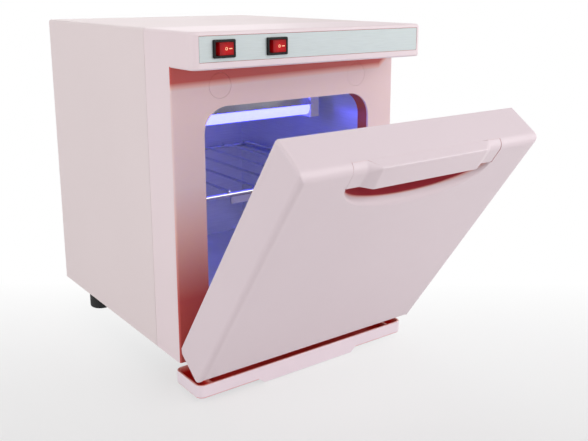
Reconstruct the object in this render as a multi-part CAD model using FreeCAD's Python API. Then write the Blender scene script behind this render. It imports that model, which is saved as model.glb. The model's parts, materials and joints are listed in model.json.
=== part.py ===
import FreeCAD, Part
import math
import os

# Countertop towel warmer: a heated cabinet lit by a lamp, with a drop-down door,
# two rocker switches and a drip tray.
# Each piece is made with the front frame's face at Y = 0, the floor at Z = 0 and the door shut.
# The door's pieces are then swung open to their stop, and the whole is centred over its footprint.
# Lengths are millimetres and angles are degrees.

V = FreeCAD.Vector
ACROSS = V(1, 0, 0)
BACKWARD = V(0, 1, 0)
UP = V(0, 0, 1)

# Clearances
overrun = 5.0               # how far a cutting body runs past what it cuts
fit_gap = 0.3               # beside pieces that slide or sit loosely
snug_gap = 0.1              # round a piece pushed into its hole
running_gap = 0.05          # radial, pin in its bearing
parallel_share = 0.999      # least cosine between edges taken as parallel

# Cabinet
cabinet_width = 254.0
cabinet_depth = 282.0       # front frame's face to the rear face
cabinet_height = 300.0      # underside to top
foot_height = 31.0          # floor to underside
sheet = 1.0                 # steel of the wrapper, base and back
bend_radius = 3.0           # outside of the wrapper's folds
hem_width = 12.0            # the wrapper's turned-in edges
seam_gap = 0.6              # shadow line between housing and wrapper
base_flange_height = 10.0

# Front housing
housing_depth = 46.0        # front face to the seam
housing_wall = 3.0
overhang_reach = 40.0       # control overhang, ahead of the frame
overhang_height = 31.0
overhang_corner_radius = 7.0
overhang_bevel = 1.2
jamb_edge_radius = 2.5
tongue_length = 6.0         # slides inside the wrapper's front edge
tongue_wall = 2.0
tongue_rise = 20.0          # tongue's lower ends above the underside
jamb_width = 32.0           # frame beside the opening
sill_height = 30.0          # underside to the opening
header_height = 68.0        # opening to the top
opening_radius = 24.0
lip_depth = 16.0            # the opening's return lip
lip_wall = 2.5

# Control strip and switches
plate_margin = 6.5          # housing's side to the strip's end
plate_height = 21.0
plate_thickness = 0.8
plate_recess = 1.0
plate_drop = 14.2           # housing's top to the strip's centre line
switch_inset = 29.5         # housing's left side to the first switch
switch_spacing = 52.5
bezel_width = 21.0
bezel_height = 15.0
bezel_thickness = 2.0
bezel_edge = 0.6            # bevel round the bezel's face
switch_width = 19.2         # body behind the bezel
switch_height = 13.0
switch_depth = 20.0
rocker_radius = 8.4         # of the space that the rocker turns in
rocker_height = 10.4
rocker_reach = 7.3          # pivot to each end of the face
rocker_back_reach = 5.0
rocker_back = 6.0
rocker_pivot_depth = 2.4    # bezel's face to the pivot
rocker_face_rise = 3.0      # pressed half's face ahead of the pivot
rocker_tilt = 8.0           # each way from level
trunnion_radius = 1.2
trunnion_length = 0.8
tab_width = 4.8             # push-on terminals
tab_thickness = 0.8
tab_length = 8.0
tab_spacing = 7.0

# Magnetic catches
catch_inset = 49.0          # housing's side to the catch
cap_radius = 11.2
magnet_width = 18.0
magnet_length = 8.0
strike_width = 20.0
strike_thickness = 1.5

# Chamber
liner_sheet = 1.0
rear_room = 41.0            # liner's rear face to the cabinet's
liner_flange = 7.0
insulation = 22.0
insulation_front = 22.0     # front face to the slabs
insulation_edge = 6.0       # slabs stop short of the liner's rounded corners by this
back_insulation = 18.0
bottom_slab_thickness = 9.0
bottom_slab_margin = 12.0   # heater plate's side to the slab's
bottom_slab_front = 52.0

# Towel rack
rack_level = 149.0          # underside to the wires' tops
rack_front = 20.0
rack_rear_room = 15.0       # behind the rack
rack_bar_radius = 2.0
rack_wire_radius = 1.3
rack_wires = 7
rack_wire_inset = 4.0       # outer wires in from the bars' ends
rack_strip_inset = 38.0     # opening's side to the strip's end
rack_strip_height = 7.0
rack_strip_thickness = 1.6
rail_width = 9.0
rail_height = 12.0
rail_sheet = 1.2
rack_side_gap = 2.0         # rack to the liner's sides

# Lamp
lamp_setback = 70.0         # front face to the tube
lamp_drop = 21.0            # liner's ceiling to the tube's axis
lamp_radius = 8.0
lamp_end_room = 27.0        # opening's side to the tube's end
holder_thickness = 11.0
holder_depth = 18.0
holder_below = 10.0         # how far the holder reaches under the tube's axis
reflector_sheet = 0.8
reflector_height = 15.0
reflector_crown = 12.0      # flat width against the ceiling
reflector_mouth = 46.0
reflector_end_gap = 8.0     # reflector's end to the holder

# Heater
heater_margin = 13.0        # opening's side to the spreader plate
heater_plate_front = 45.0
heater_rear_room = 19.0
heater_plate_thickness = 2.0
element_width = 14.0
element_thickness = 1.5
element_margin = 10.0       # spreader plate's front and rear to the strip
element_side_margin = 15.0
thermostat_x = 20.0
thermostat_y = 120.0
thermostat_radius = 8.5
thermostat_height = 9.0

# Electrics on the component plate
component_sheet = 1.2
component_flange = 14.0
component_front = 54.0
component_rear_room = 20.0
ballast_inset = 53.0        # cabinet's side to the choke's middle
ballast_width = 62.0
ballast_depth = 40.0
ballast_height = 26.0
ballast_foot_length = 10.0
ballast_foot_thickness = 1.6
ballast_bobbin_width = 40.0
ballast_bobbin_overhang = 6.0
block_inset = 21.0          # cabinet's side to the terminal block
block_middle_gap = 10.0     # terminal block to the cabinet's middle
block_front = 150.0
block_depth = 24.0
block_height = 15.0
block_ways = 8
block_rib = 2.0             # barrier between two ways
block_rib_rise = 5.0
block_clamp = 6.0
block_clamp_rise = 2.5

# Rear panel
supply_inset = 37.0         # cabinet's side to the cord inlet
gland_level = 45.0          # above the underside
gland_sides = 6
gland_radius = 11.0         # over the corners
gland_height = 6.0
gland_floor = 1.0
gland_bore_radius = 3.6
vent_columns = 2
vent_rows = 7
vent_side_margin = 52.0
vent_height = 4.0
vent_pitch = 11.0
vent_column_gap = 30.0
vent_top_margin = 26.0      # top of the cabinet to the first slot
base_vent_rows = 6
base_vent_pitch = 24.0
base_vent_width = 56.0
base_vent_front = 70.0

# Feet
foot_radius = 13.0
front_foot_inset = 43.0     # cabinet's side to a foot's middle
front_foot_y = 66.0
rear_foot_inset = 27.0
rear_foot_setback = 36.0    # from the rear face

# Door
door_gap = 2.0              # frame's face to the door's rear, shut
door_thickness = 38.0
door_top_gap = 2.0          # under the overhang, shut
door_drop = 2.0             # door's lower edge under the cabinet's underside
door_wall = 3.0
door_top_radius = 8.0
door_bottom_radius = 12.0
door_side_radius = 5.0
door_heel = 3.5             # bevel of the rear lower edge, which clears the frame
panel_thickness = 2.5
panel_field_margin = 9.0    # the panel's sunk field inside the seal
panel_field_depth = 1.2
seal_inset = 1.5            # opening's edge to the seal
seal_width = 5.0
door_open_angle = 35.2

# Handle in the door's upper edge
handle_width = 159.0
handle_height = 22.0        # down from the door's top
handle_plate = 6.3
grip_land = 13.5            # flat end of the plate beside the grip
grip_slope = 10.0           # each end of the grip slopes back over this width
grip_rise = 4.5             # proud of the door's face
grip_edge_radius = 2.5
recess_cover = 3.5          # how far the handle's plate covers the recess at each end
recess_drop = 22.0          # under the handle at the middle
recess_depth = 24.0
recess_lip_depth = 7.0       # the recess's rounded lip: into the door, downward and at the sides
recess_lip_drop = 10.0
recess_lip_side = 3.3
recess_lip_steps = 4
handle_leg = 4.5
handle_leg_margin = 2.0

# Hinges
hinge_reach = 22.9          # axis ahead of the frame's face
hinge_rise = 7.5            # axis above the underside
hinge_inset = 19.0          # door's side to the bracket
bracket_sheet = 3.0
ear_radius = 6.0
ear_neck = 9.0
bracket_flange_width = 14.0
bracket_flange_height = 21.0
pin_radius = 3.0
pin_length = 12.0           # into both cheeks of the slot
block_inward = 12.0         # bracket to the hinge block's inner side
block_ahead = 11.0          # hinge block, ahead of and behind the axis
block_behind = 14.0
block_top = 14.0            # above the axis
block_rise = 2.5            # over the door's floor, clear of its rounded edge

# Drip tray
tray_side_gap = 3.0         # cabinet's side to the tray's end
tray_front = 28.0           # ahead of the frame's face
tray_back = 18.0            # behind it
tray_floor_height = 4.5
tray_rim_height = 18.0
tray_wall = 2.4
tray_corner_radius = 7.0
tray_bevel = 2.0            # round the underside
tray_pull_width = 106.0     # lip to pull the tray by
tray_pull_slope = 8.0
tray_pull_drop = 3.2
tray_pull_thickness = 3.0
tray_rib_inset = 15.0
tray_rib_width = 3.0
tray_rib_drop = 2.5         # rim to the rib's top
runner_foot_gap = 5.5       # front foot to the runner
tongue_width = 26.0
tongue_thickness = 3.0
tongue_hold = 31.0          # of the tongue's length, left over at full travel
tongue_level = 21.6         # underside of the tongue above the floor
tray_travel = 55.0          # how far the tray pulls out
runner_front = 20.0
runner_back = 112.0
runner_wall = 2.2
runner_mouth = 14.0         # slot between the runner's lower lips

# Worked out from the sizes above
half_width = cabinet_width / 2
opening_width = cabinet_width - 2 * jamb_width
plate_width = cabinet_width - 2 * plate_margin
uv_switch_x = switch_inset - half_width
power_switch_x = uv_switch_x + switch_spacing
catch_x = half_width - catch_inset
hinge_x = half_width - hinge_inset
block_x_inner = hinge_x - block_inward
supply_x = supply_inset - half_width
vent_width = (cabinet_width - vent_column_gap) / 2 - vent_side_margin
ballast_x = half_width - ballast_inset
block_left = block_inset - half_width
block_right = -block_middle_gap
lamp_length = opening_width - 2 * lamp_end_room
rack_strip_width = opening_width - 2 * rack_strip_inset
heater_plate_width = opening_width - 2 * heater_margin
element_pitch = (heater_plate_width - element_width) / 2 - element_side_margin
bottom_slab_width = heater_plate_width - 2 * bottom_slab_margin
front_foot_x = half_width - front_foot_inset
rear_foot_x = half_width - rear_foot_inset
runner_half = tongue_width / 2 + fit_gap + runner_wall
tongue_x = front_foot_x - foot_radius - runner_foot_gap - runner_half
tray_width = cabinet_width - 2 * tray_side_gap
recess_width = handle_width - 2 * recess_cover
grip_width = handle_width - 2 * (grip_land + grip_slope)
liner_back = cabinet_depth - rear_room
rack_back = liner_back - rack_rear_room
heater_plate_back = liner_back - heater_rear_room
element_front = heater_plate_front + element_margin
element_back = heater_plate_back - element_margin
component_back = cabinet_depth - component_rear_room
rear_foot_y = cabinet_depth - rear_foot_setback
bottom_z = foot_height
top_z = foot_height + cabinet_height
overhang_z = top_z - overhang_height
seam_y = housing_depth + seam_gap
opening_x = opening_width / 2
opening_low = bottom_z + sill_height
opening_high = top_z - header_height
inner_x = half_width - sheet
strip_z = top_z - plate_drop
strip_face = -overhang_reach + plate_recess - plate_thickness
bezel_face = strip_face - bezel_thickness
rocker_y = bezel_face + rocker_pivot_depth
catch_z = (opening_high + overhang_z) / 2
liner_top = opening_high + liner_sheet
liner_bottom = opening_low - liner_sheet
liner_side = opening_x + liner_sheet
component_z = liner_top + insulation
component_top = component_z + component_sheet
lamp_z = opening_high - lamp_drop
rack_z = bottom_z + rack_level - 2 * rack_wire_radius - rack_bar_radius
rail_z = rack_z - rack_bar_radius
base_top = bottom_z + sheet
heater_z = liner_bottom - heater_plate_thickness
gland_z = bottom_z + gland_level
door_rear = -door_gap
door_face = -door_gap - door_thickness
door_low = bottom_z - door_drop
door_top = overhang_z - door_top_gap
panel_front = door_rear - panel_thickness
handle_low = door_top - handle_height
axis_y = -hinge_reach
axis_z = bottom_z + hinge_rise
tongue_reach = tray_travel + tongue_hold
runner_low = tongue_level - fit_gap - runner_wall


def box(x, y, z):
    """Block between the two values of each pair."""
    return Part.makeBox(x[1] - x[0], y[1] - y[0], z[1] - z[0], V(x[0], y[0], z[0]))


def span(middle, width):
    """The two ends of a width laid about its middle."""
    return (middle - width / 2, middle + width / 2)


def rod(start, end, radius):
    """Round bar from one point to another."""
    run = end - start
    return Part.makeCylinder(radius, run.Length, start, run)


def drill(point, direction, radius):
    """Round cutter that runs past a point both ways."""
    return rod(point - direction * overrun, point + direction * overrun, radius)


def prism(points, run):
    """Flat outline through the points, carried along a run."""
    return Part.Face(Part.makePolygon(points + points[:1])).extrude(run)


def edges_along(shape, direction, where=lambda point: True):
    """Straight edges along a direction whose middle is where it is asked for."""
    straight = [edge for edge in shape.Edges if isinstance(edge.Curve, Part.Line)]
    return [edge for edge in straight
            if abs(edge.Curve.Direction.dot(direction)) > parallel_share and where(edge.CenterOfMass)]


def rounded(shape, radius, direction, where=lambda point: True):
    """Shape with its edges along one direction rounded."""
    return shape.makeFillet(radius, edges_along(shape, direction, where))


def opening_slab(grow, y):
    """The door opening's rounded outline, grown all round and carried along Y."""
    block = box((-opening_x - grow, opening_x + grow), y, (opening_low - grow, opening_high + grow))
    return rounded(block, opening_radius + grow, BACKWARD)


def mirrored(shape):
    """The same piece on the other side of the middle."""
    return shape.mirror(V(), ACROSS)


def both_sides(shape):
    """A piece and its mirror image, as two solids."""
    return Part.makeCompound([shape, mirrored(shape)])


def front_housing():
    """Moulded frame with the control overhang, the opening's return lip and its bosses."""
    frame = box((-half_width, half_width), (0, housing_depth), (bottom_z, top_z))
    frame = rounded(frame, jamb_edge_radius, UP, lambda p: p.y < housing_depth / 2)
    frame = rounded(frame, bend_radius, BACKWARD, lambda p: p.z > top_z / 2)
    overhang = box((-half_width, half_width), (-overhang_reach, housing_depth), (overhang_z, top_z))
    overhang = rounded(overhang, overhang_corner_radius, UP, lambda p: p.y < 0)
    overhang = rounded(overhang, bend_radius, ACROSS, lambda p: p.z > strip_z and p.y < 0)
    under = edges_along(overhang, ACROSS, lambda p: p.z < strip_z and p.y < 0)
    overhang = overhang.makeChamfer(overhang_bevel, under)
    body = frame.fuse(overhang).removeSplitter()
    wall_x = (-half_width + housing_wall, half_width - housing_wall)
    roof = top_z - housing_wall
    hollow = box(wall_x, (housing_wall, housing_depth + overrun), (bottom_z + housing_wall, roof))
    pocket = box(wall_x, (housing_wall - overhang_reach, housing_depth), (overhang_z + housing_wall, roof))
    pocket = rounded(pocket, overhang_corner_radius - housing_wall, UP, lambda p: p.y < 0)
    body = body.cut(hollow.fuse(pocket))
    inset = sheet + fit_gap
    tongue_y = (housing_depth - housing_wall, housing_depth + tongue_length)
    tongue = box(span(0, cabinet_width - 2 * inset), tongue_y, (bottom_z + tongue_rise, top_z - inset))
    core_x = (-half_width + inset + tongue_wall, half_width - inset - tongue_wall)
    core_y = (tongue_y[0] - overrun, tongue_y[1] + overrun)
    core = box(core_x, core_y, (bottom_z, top_z - inset - tongue_wall))
    body = body.fuse(rounded(tongue, bend_radius - sheet, BACKWARD, lambda p: p.z > top_z / 2).cut(core))
    body = body.fuse(opening_slab(lip_wall, (0, lip_depth)))
    body = body.cut(opening_slab(0, (-overrun, lip_depth + overrun)))
    return cut_front_fittings(body).removeSplitter()


def cut_front_fittings(body):
    """Recess for the strip, holes for the switches, catches and hinge brackets."""
    recess_y = (-overhang_reach - overrun, -overhang_reach + plate_recess)
    recess = box(span(0, plate_width + 2 * snug_gap), recess_y, span(strip_z, plate_height + 2 * snug_gap))
    body = body.cut(recess)
    for x in (uv_switch_x, power_switch_x):
        body = body.cut(switch_hole(x))
    for side in (-1, 1):
        middle = V(side * catch_x, 0, catch_z)
        body = body.cut(drill(middle, BACKWARD, cap_radius + snug_gap))
        slot_x = span(side * hinge_x, bracket_sheet + 2 * fit_gap)
        slot_z = span(axis_z, ear_neck + 2 * fit_gap)
        body = body.cut(box(slot_x, (-overrun, housing_wall + overrun), slot_z))
    return body


def switch_hole(x):
    """Cut for one switch body through the strip and the housing's front wall."""
    through_y = (-overhang_reach - overrun, -overhang_reach + housing_wall + overrun)
    return box(span(x, switch_width + 2 * snug_gap), through_y, span(strip_z, switch_height + 2 * snug_gap))


def outer_wrapper():
    """Folded sheet over the top and both sides, with its edges turned in below and behind."""
    block = box((-half_width, half_width), (seam_y, cabinet_depth), (bottom_z, top_z))
    block = rounded(block, bend_radius, BACKWARD, lambda p: p.z > top_z - overrun)
    across = (-inner_x, inner_x)
    under = top_z - sheet
    core = box(across, (seam_y - overrun, cabinet_depth + overrun), (bottom_z - overrun, under))
    wrapper = block.cut(rounded(core, bend_radius - sheet, BACKWARD, lambda p: p.z > top_z / 2))
    hem_back = cabinet_depth - sheet
    rear_hem = box(across, (hem_back - sheet, hem_back), (base_top, under))
    rear_hem = rounded(rear_hem, bend_radius - sheet, BACKWARD, lambda p: p.z > top_z / 2)
    window = box(span(0, 2 * (inner_x - hem_width)), (seam_y, cabinet_depth), (bottom_z, top_z - hem_width))
    wrapper = wrapper.fuse(rear_hem.cut(window))
    side_hem = box((-half_width, hem_width - half_width), (seam_y, hem_back), (base_top, base_top + sheet))
    wrapper = wrapper.fuse([side_hem, mirrored(side_hem)])
    return wrapper.removeSplitter()


def foot_points():
    """The feet's centres on the floor."""
    places = ((front_foot_x, front_foot_y), (rear_foot_x, rear_foot_y))
    return [V(side * x, y, 0) for x, y in places for side in (-1, 1)]


def base_plate():
    """Flat bottom sheet with turned-up front and rear edges and slots under the heater."""
    front = housing_depth
    back = cabinet_depth - 2 * sheet - fit_gap
    plate = box(span(0, 2 * (inner_x - fit_gap)), (front, back), (bottom_z, base_top))
    for y in ((front, front + sheet), (back - sheet, back)):
        flange_x = span(0, cabinet_width - 2 * (hem_width + fit_gap))
        plate = plate.fuse(box(flange_x, y, (bottom_z, bottom_z + base_flange_height)))
    for row in range(base_vent_rows):
        y = base_vent_front + row * base_vent_pitch
        slot_z = (bottom_z - overrun, base_top + overrun)
        plate = plate.cut(box(span(0, base_vent_width), (y, y + vent_height), slot_z))
    return plate.removeSplitter()


def back_panel():
    """Flat rear sheet with two columns of vent slots."""
    panel_z = (base_top + fit_gap, top_z - sheet - fit_gap)
    panel = box(span(0, 2 * (inner_x - fit_gap)), (cabinet_depth - sheet, cabinet_depth), panel_z)
    panel = rounded(panel, bend_radius - sheet, BACKWARD)
    through_y = (cabinet_depth - overrun, cabinet_depth + overrun)
    for column in range(vent_columns):
        middle = (column - (vent_columns - 1) / 2) * (vent_width + vent_column_gap)
        for row in range(vent_rows):
            z = top_z - vent_top_margin - row * vent_pitch
            panel = panel.cut(box(span(middle, vent_width), through_y, (z - vent_height, z)))
    return panel


def cord_gland():
    """Six-sided gland on the rear panel with a blind bore for the cord."""
    face = V(supply_x, cabinet_depth, gland_z)
    turns = [2 * math.pi * step / gland_sides for step in range(gland_sides)]
    corners = [face + V(math.cos(turn), 0, math.sin(turn)) * gland_radius for turn in turns]
    nut = prism(corners, BACKWARD * gland_height)
    floor = face + BACKWARD * gland_floor
    return nut.cut(rod(floor, floor + BACKWARD * gland_height, gland_bore_radius))


def control_plate():
    """Thin strip in the overhang's recess, cut for both switches."""
    strip = box(span(0, plate_width), (strip_face, strip_face + plate_thickness), span(strip_z, plate_height))
    for x in (uv_switch_x, power_switch_x):
        strip = strip.cut(switch_hole(x))
    return strip


def rocker_frame(x):
    """Switch body with its bezel, the pit for the rocker and the push-on terminals behind."""
    bezel = box(span(x, bezel_width), (bezel_face, strip_face), span(strip_z, bezel_height))
    rim = [edge for edge in bezel.Edges if edge.CenterOfMass.y < bezel_face + fit_gap]
    bezel = bezel.makeChamfer(bezel_edge, rim)
    back = strip_face + switch_depth
    body = box(span(x, switch_width), (strip_face, back), span(strip_z, switch_height))
    tab_y = (back, back + tab_length)
    tabs = [box(span(x + step * tab_spacing / 2, tab_thickness), tab_y, span(strip_z, tab_width))
            for step in (-1, 1)]
    body = bezel.fuse([body] + tabs).removeSplitter()
    reach = rocker_radius + fit_gap
    pit_z = span(strip_z, rocker_height + 2 * fit_gap)
    pit = box((x - reach, x + reach), (bezel_face - overrun, rocker_y + reach), pit_z)
    pivot = V(x, rocker_y, strip_z)
    bore = rocker_height / 2 + trunnion_length + snug_gap
    return body.cut(pit).cut(rod(pivot - UP * bore, pivot + UP * bore, trunnion_radius + running_gap))


def rocker(x):
    """Rocker with two flats that meet in a shallow V over a tapered back, tipped to its pressed side."""
    pivot = V(x, rocker_y, strip_z)
    tilt = math.radians(rocker_tilt)
    ridge = rocker_face_rise / math.cos(tilt)
    tip = ridge + rocker_reach * math.tan(tilt)
    corners = ((0, -ridge), (rocker_reach, -tip), (rocker_back_reach, rocker_back),
               (-rocker_back_reach, rocker_back), (-rocker_reach, -tip))
    low = strip_z - rocker_height / 2
    body = prism([V(x + across, rocker_y + along, low) for across, along in corners], UP * rocker_height)
    bore = rocker_height / 2 + trunnion_length
    body = body.fuse(rod(pivot - UP * bore, pivot + UP * bore, trunnion_radius)).removeSplitter()
    body.rotate(pivot, UP, rocker_tilt)
    return body


def magnet_cap():
    """Round cap pushed into the frame, flush with its face."""
    middle = V(catch_x, 0, catch_z)
    return rod(middle, middle + BACKWARD * housing_wall, cap_radius)


def catch_magnet():
    """Square magnet on the back of its cap."""
    along = (housing_wall, housing_wall + magnet_length)
    return box(span(catch_x, magnet_width), along, span(catch_z, magnet_width))


def chamber_liner():
    """Metal box round the chamber, closed behind, with a flange against the frame's lip."""
    outside = opening_slab(liner_sheet, (lip_depth, liner_back))
    flange = opening_slab(liner_flange, (lip_depth, lip_depth + liner_sheet))
    inside = opening_slab(0, (lip_depth - overrun, liner_back - liner_sheet))
    return outside.fuse(flange).cut(inside).removeSplitter()


def insulation_side():
    """Slab beside the liner's right-hand wall."""
    inset = opening_radius - insulation_edge
    return box((liner_side, liner_side + insulation), (insulation_front, liner_back),
               (opening_low + inset, opening_high - inset))


def insulation_top():
    """Slab over the liner."""
    side = opening_x - opening_radius + insulation_edge
    return box((-side, side), (insulation_front, liner_back), (liner_top, liner_top + insulation))


def insulation_back():
    """Slab behind the liner."""
    along = (liner_back, liner_back + back_insulation)
    slab_z = (opening_low + insulation_edge, opening_high - insulation_edge)
    return box(span(0, opening_width - 2 * insulation_edge), along, slab_z)


def insulation_bottom():
    """Slab on the base plate, under the heater."""
    slab_z = (base_top, base_top + bottom_slab_thickness)
    return box(span(0, bottom_slab_width), (bottom_slab_front, liner_back), slab_z)


def heater_plate():
    """Spreader plate under the liner's floor."""
    along = (heater_plate_front, heater_plate_back)
    return box(span(0, heater_plate_width), along, (heater_z, liner_bottom))


def heater_element():
    """Flat heating strip laid to and fro under the spreader plate."""
    strip_z = (heater_z - element_thickness, heater_z)
    runs = [box(span(x, element_width), (element_front, element_back), strip_z)
            for x in (-element_pitch, 0, element_pitch)]
    rear_link = box((-element_pitch, 0), (element_back - element_width, element_back), strip_z)
    front_link = box((0, element_pitch), (element_front, element_front + element_width), strip_z)
    return runs[0].fuse(runs[1:] + [rear_link, front_link]).removeSplitter()


def thermostat():
    """Round snap-disc thermostat against the spreader plate, with two tabs."""
    seat = V(thermostat_x, thermostat_y, heater_z)
    low = seat - UP * thermostat_height
    body = rod(low, seat, thermostat_radius)
    for step in (-1, 1):
        tab_x = span(low.x + step * tab_spacing / 2, tab_thickness)
        body = body.fuse(box(tab_x, span(low.y, tab_width), (low.z - tab_length / 2, low.z)))
    return body.removeSplitter()


def lamp_tube():
    """Capped glass tube between its holders."""
    half = ACROSS * (lamp_length / 2)
    middle = V(0, lamp_setback, lamp_z)
    return rod(middle - half, middle + half, lamp_radius)


def lamp_holder():
    """Holder under the liner's ceiling at one end of the lamp, shaped to the ceiling's curve."""
    inner = lamp_length / 2
    along = span(lamp_setback, holder_depth)
    block = box((inner, inner + holder_thickness), along, (lamp_z - holder_below, opening_high))
    return block.common(opening_slab(0, along))


def lamp_reflector():
    """Folded reflector over the tube, its crown against the liner's ceiling."""
    half = lamp_length / 2 - reflector_end_gap
    crown = reflector_crown / 2
    mouth = reflector_mouth / 2
    low = opening_high - reflector_height
    slope = math.hypot(mouth - crown, reflector_height) / reflector_height
    inner_mouth = mouth - reflector_sheet * slope
    inner_crown = crown - reflector_sheet * (slope - (mouth - crown) / reflector_height)
    under = opening_high - reflector_sheet
    section = ((-mouth, low), (-crown, opening_high), (crown, opening_high), (mouth, low),
               (inner_mouth, low), (inner_crown, under), (-inner_crown, under), (-inner_mouth, low))
    outline = [V(-half, lamp_setback + along, height) for along, height in section]
    return prism(outline, ACROSS * (2 * half))


def component_plate():
    """Folded plate over the insulation for the electrics, its flanges against the wrapper's sides."""
    along = (component_front, component_back)
    plate = box((-inner_x, inner_x), along, (component_z, component_z + component_flange))
    core_y = (component_front - overrun, component_back + overrun)
    core_z = (component_top, component_z + component_flange + overrun)
    return plate.cut(box(span(0, 2 * (inner_x - component_sheet)), core_y, core_z))


def lamp_ballast():
    """Choke with its laminated core, bobbin and two fixing feet."""
    y = span(lamp_setback, ballast_depth)
    roof = component_top + ballast_height
    core = box(span(ballast_x, ballast_width), y, (component_top, roof))
    bobbin_y = span(lamp_setback, ballast_depth + 2 * ballast_bobbin_overhang)
    bobbin_z = (component_top + ballast_bobbin_overhang, roof - ballast_bobbin_overhang)
    bobbin = box(span(ballast_x, ballast_bobbin_width), bobbin_y, bobbin_z)
    feet_x = span(ballast_x, ballast_width + 2 * ballast_foot_length)
    feet = box(feet_x, y, (component_top, component_top + ballast_foot_thickness))
    return core.fuse([bobbin, feet]).removeSplitter()


def terminal_block():
    """Barrier strip with a square clamp in each way."""
    along = (block_front, block_front + block_depth)
    roof = component_top + block_height
    body = box((block_left, block_right), along, (component_top, roof))
    pitch = (block_right - block_left - block_rib) / block_ways
    extras = []
    for step in range(block_ways + 1):
        x = block_left + step * pitch
        extras.append(box((x, x + block_rib), along, (component_top, roof + block_rib_rise)))
    for step in range(block_ways):
        x = block_left + block_rib / 2 + (step + 0.5) * pitch
        clamp_y = span(block_front + block_depth / 2, block_clamp)
        extras.append(box(span(x, block_clamp), clamp_y, (roof, roof + block_clamp_rise)))
    return body.fuse(extras).removeSplitter()


def towel_rack():
    """Welded shelf: cross bars on the rails, long wires over them and a flat strip under the front bar."""
    half = opening_x - rack_side_gap
    bars = [rod(V(-half, y, rack_z), V(half, y, rack_z), rack_bar_radius) for y in (rack_front, rack_back)]
    level = rack_z + rack_bar_radius + rack_wire_radius
    spread = 2 * (half - rack_wire_inset)
    wires = []
    for step in range(rack_wires):
        x = spread * (step / (rack_wires - 1) - 0.5)
        front = V(x, rack_front - rack_bar_radius, level)
        wires.append(rod(front, V(x, rack_back + rack_bar_radius, level), rack_wire_radius))
    strip_z = (rail_z - rack_strip_height, rail_z)
    strip = box(span(0, rack_strip_width), span(rack_front, rack_strip_thickness), strip_z)
    return Part.makeCompound(bars + wires + [strip])


def rack_rail():
    """Folded ledge on the liner's wall that the rack slides on."""
    along = (rack_front, rack_back)
    wall = box((opening_x - rail_sheet, opening_x), along, (rail_z - rail_height, rail_z))
    ledge = box((opening_x - rail_width, opening_x), along, (rail_z - rail_sheet, rail_z))
    return wall.fuse(ledge).removeSplitter()


def foot(point):
    """Round rubber foot."""
    return rod(point, point + UP * foot_height, foot_radius)


def hinge_bracket():
    """Steel ear through the frame's slot to the hinge axis, with its flange behind the wall."""
    half = bracket_sheet / 2
    axis = V(hinge_x - half, axis_y, axis_z)
    ear = rod(axis, axis + ACROSS * bracket_sheet, ear_radius)
    flange_back = housing_wall + bracket_sheet
    neck = box(span(hinge_x, bracket_sheet), (axis_y, flange_back), span(axis_z, ear_neck))
    flange_x = (hinge_x + half - bracket_flange_width, hinge_x + half)
    flange_low = axis_z - ear_neck / 2
    flange_z = (flange_low + fit_gap, flange_low + bracket_flange_height)
    bracket = ear.fuse([neck, box(flange_x, (housing_wall, flange_back), flange_z)]).removeSplitter()
    return bracket.cut(drill(V(hinge_x, axis_y, axis_z), ACROSS, pin_radius + running_gap))


def hinge_slot():
    """Space in the door that the bracket's ear sweeps from shut to the open stop."""
    width = bracket_sheet + 2 * fit_gap
    height = ear_neck / 2 + fit_gap
    turn = math.radians(door_open_angle)
    far = door_thickness + overrun
    lower = V(0, -height * math.sin(turn), -height * math.cos(turn))
    along = V(0, math.cos(turn), -math.sin(turn)) * far
    base = V(hinge_x - width / 2, axis_y, axis_z)
    outline = [base + UP * height, base + V(0, far, height), base + V(0, far, -far),
               base + lower + along, base + lower]
    eye = 2 * (ear_radius + fit_gap)
    room = box(span(hinge_x, width), span(axis_y, eye), span(axis_z, eye))
    return prism(outline, ACROSS * width).fuse(room)


def hinge_block():
    """Block in the door's lower corner with a pin across its slot. The slot's lower wall is the open stop."""
    block_y = (axis_y - block_ahead, axis_y + block_behind)
    block_z = (door_low + door_wall + block_rise, axis_z + block_top)
    block = box((block_x_inner, half_width - door_wall), block_y, block_z).cut(hinge_slot())
    start = V(hinge_x - pin_length / 2, axis_y, axis_z)
    return block.fuse(rod(start, start + ACROSS * pin_length, pin_radius)).removeSplitter()


def scoop_section(half, drop, y):
    """Lower half of an ellipse under the handle, with straight sides that run up behind it."""
    ellipse = Part.Ellipse(V(0, y, handle_low), half, drop)
    ellipse.Axis = BACKWARD
    ellipse.XAxis = ACROSS
    bowl = Part.ArcOfEllipse(ellipse, 0, math.pi).toShape()
    roof = handle_low + overrun
    corners = [V(-half, y, handle_low), V(-half, y, roof), V(half, y, roof), V(half, y, handle_low)]
    return Part.Wire([bowl] + Part.makePolygon(corners).Edges)


def finger_pocket(grow, steps):
    """Space behind and below the handle: a scoop with a rounded mouth, finger room and the handle's seat."""
    mouth = door_face + grow
    half = recess_width / 2 + grow
    drop = recess_drop + grow
    places = [(1, mouth - overrun)]
    for step in range(steps + 1):
        turn = math.pi / 2 * step / steps
        places.append((1 - math.sin(turn), mouth + (recess_lip_depth - grow) * (1 - math.cos(turn))))
    places.append((0, door_face + recess_depth + grow))
    wider = recess_lip_side - grow
    deeper = recess_lip_drop - grow
    sections = [scoop_section(half + wider * flare, drop + deeper * flare, y) for flare, y in places]
    scoop = Part.makeLoft(sections, True, True)
    room_y = (mouth - overrun, door_face + recess_depth + grow)
    room = box(span(0, 2 * (half - fit_gap)), room_y, (handle_low, door_top - door_wall + grow))
    seat_y = (mouth - 2 * overrun, door_face + handle_plate + fit_gap + grow)
    seat = box(span(0, handle_width + 2 * (fit_gap + grow)), seat_y, (handle_low - grow, door_top + overrun))
    return scoop.fuse([room, seat]).removeSplitter()


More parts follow.
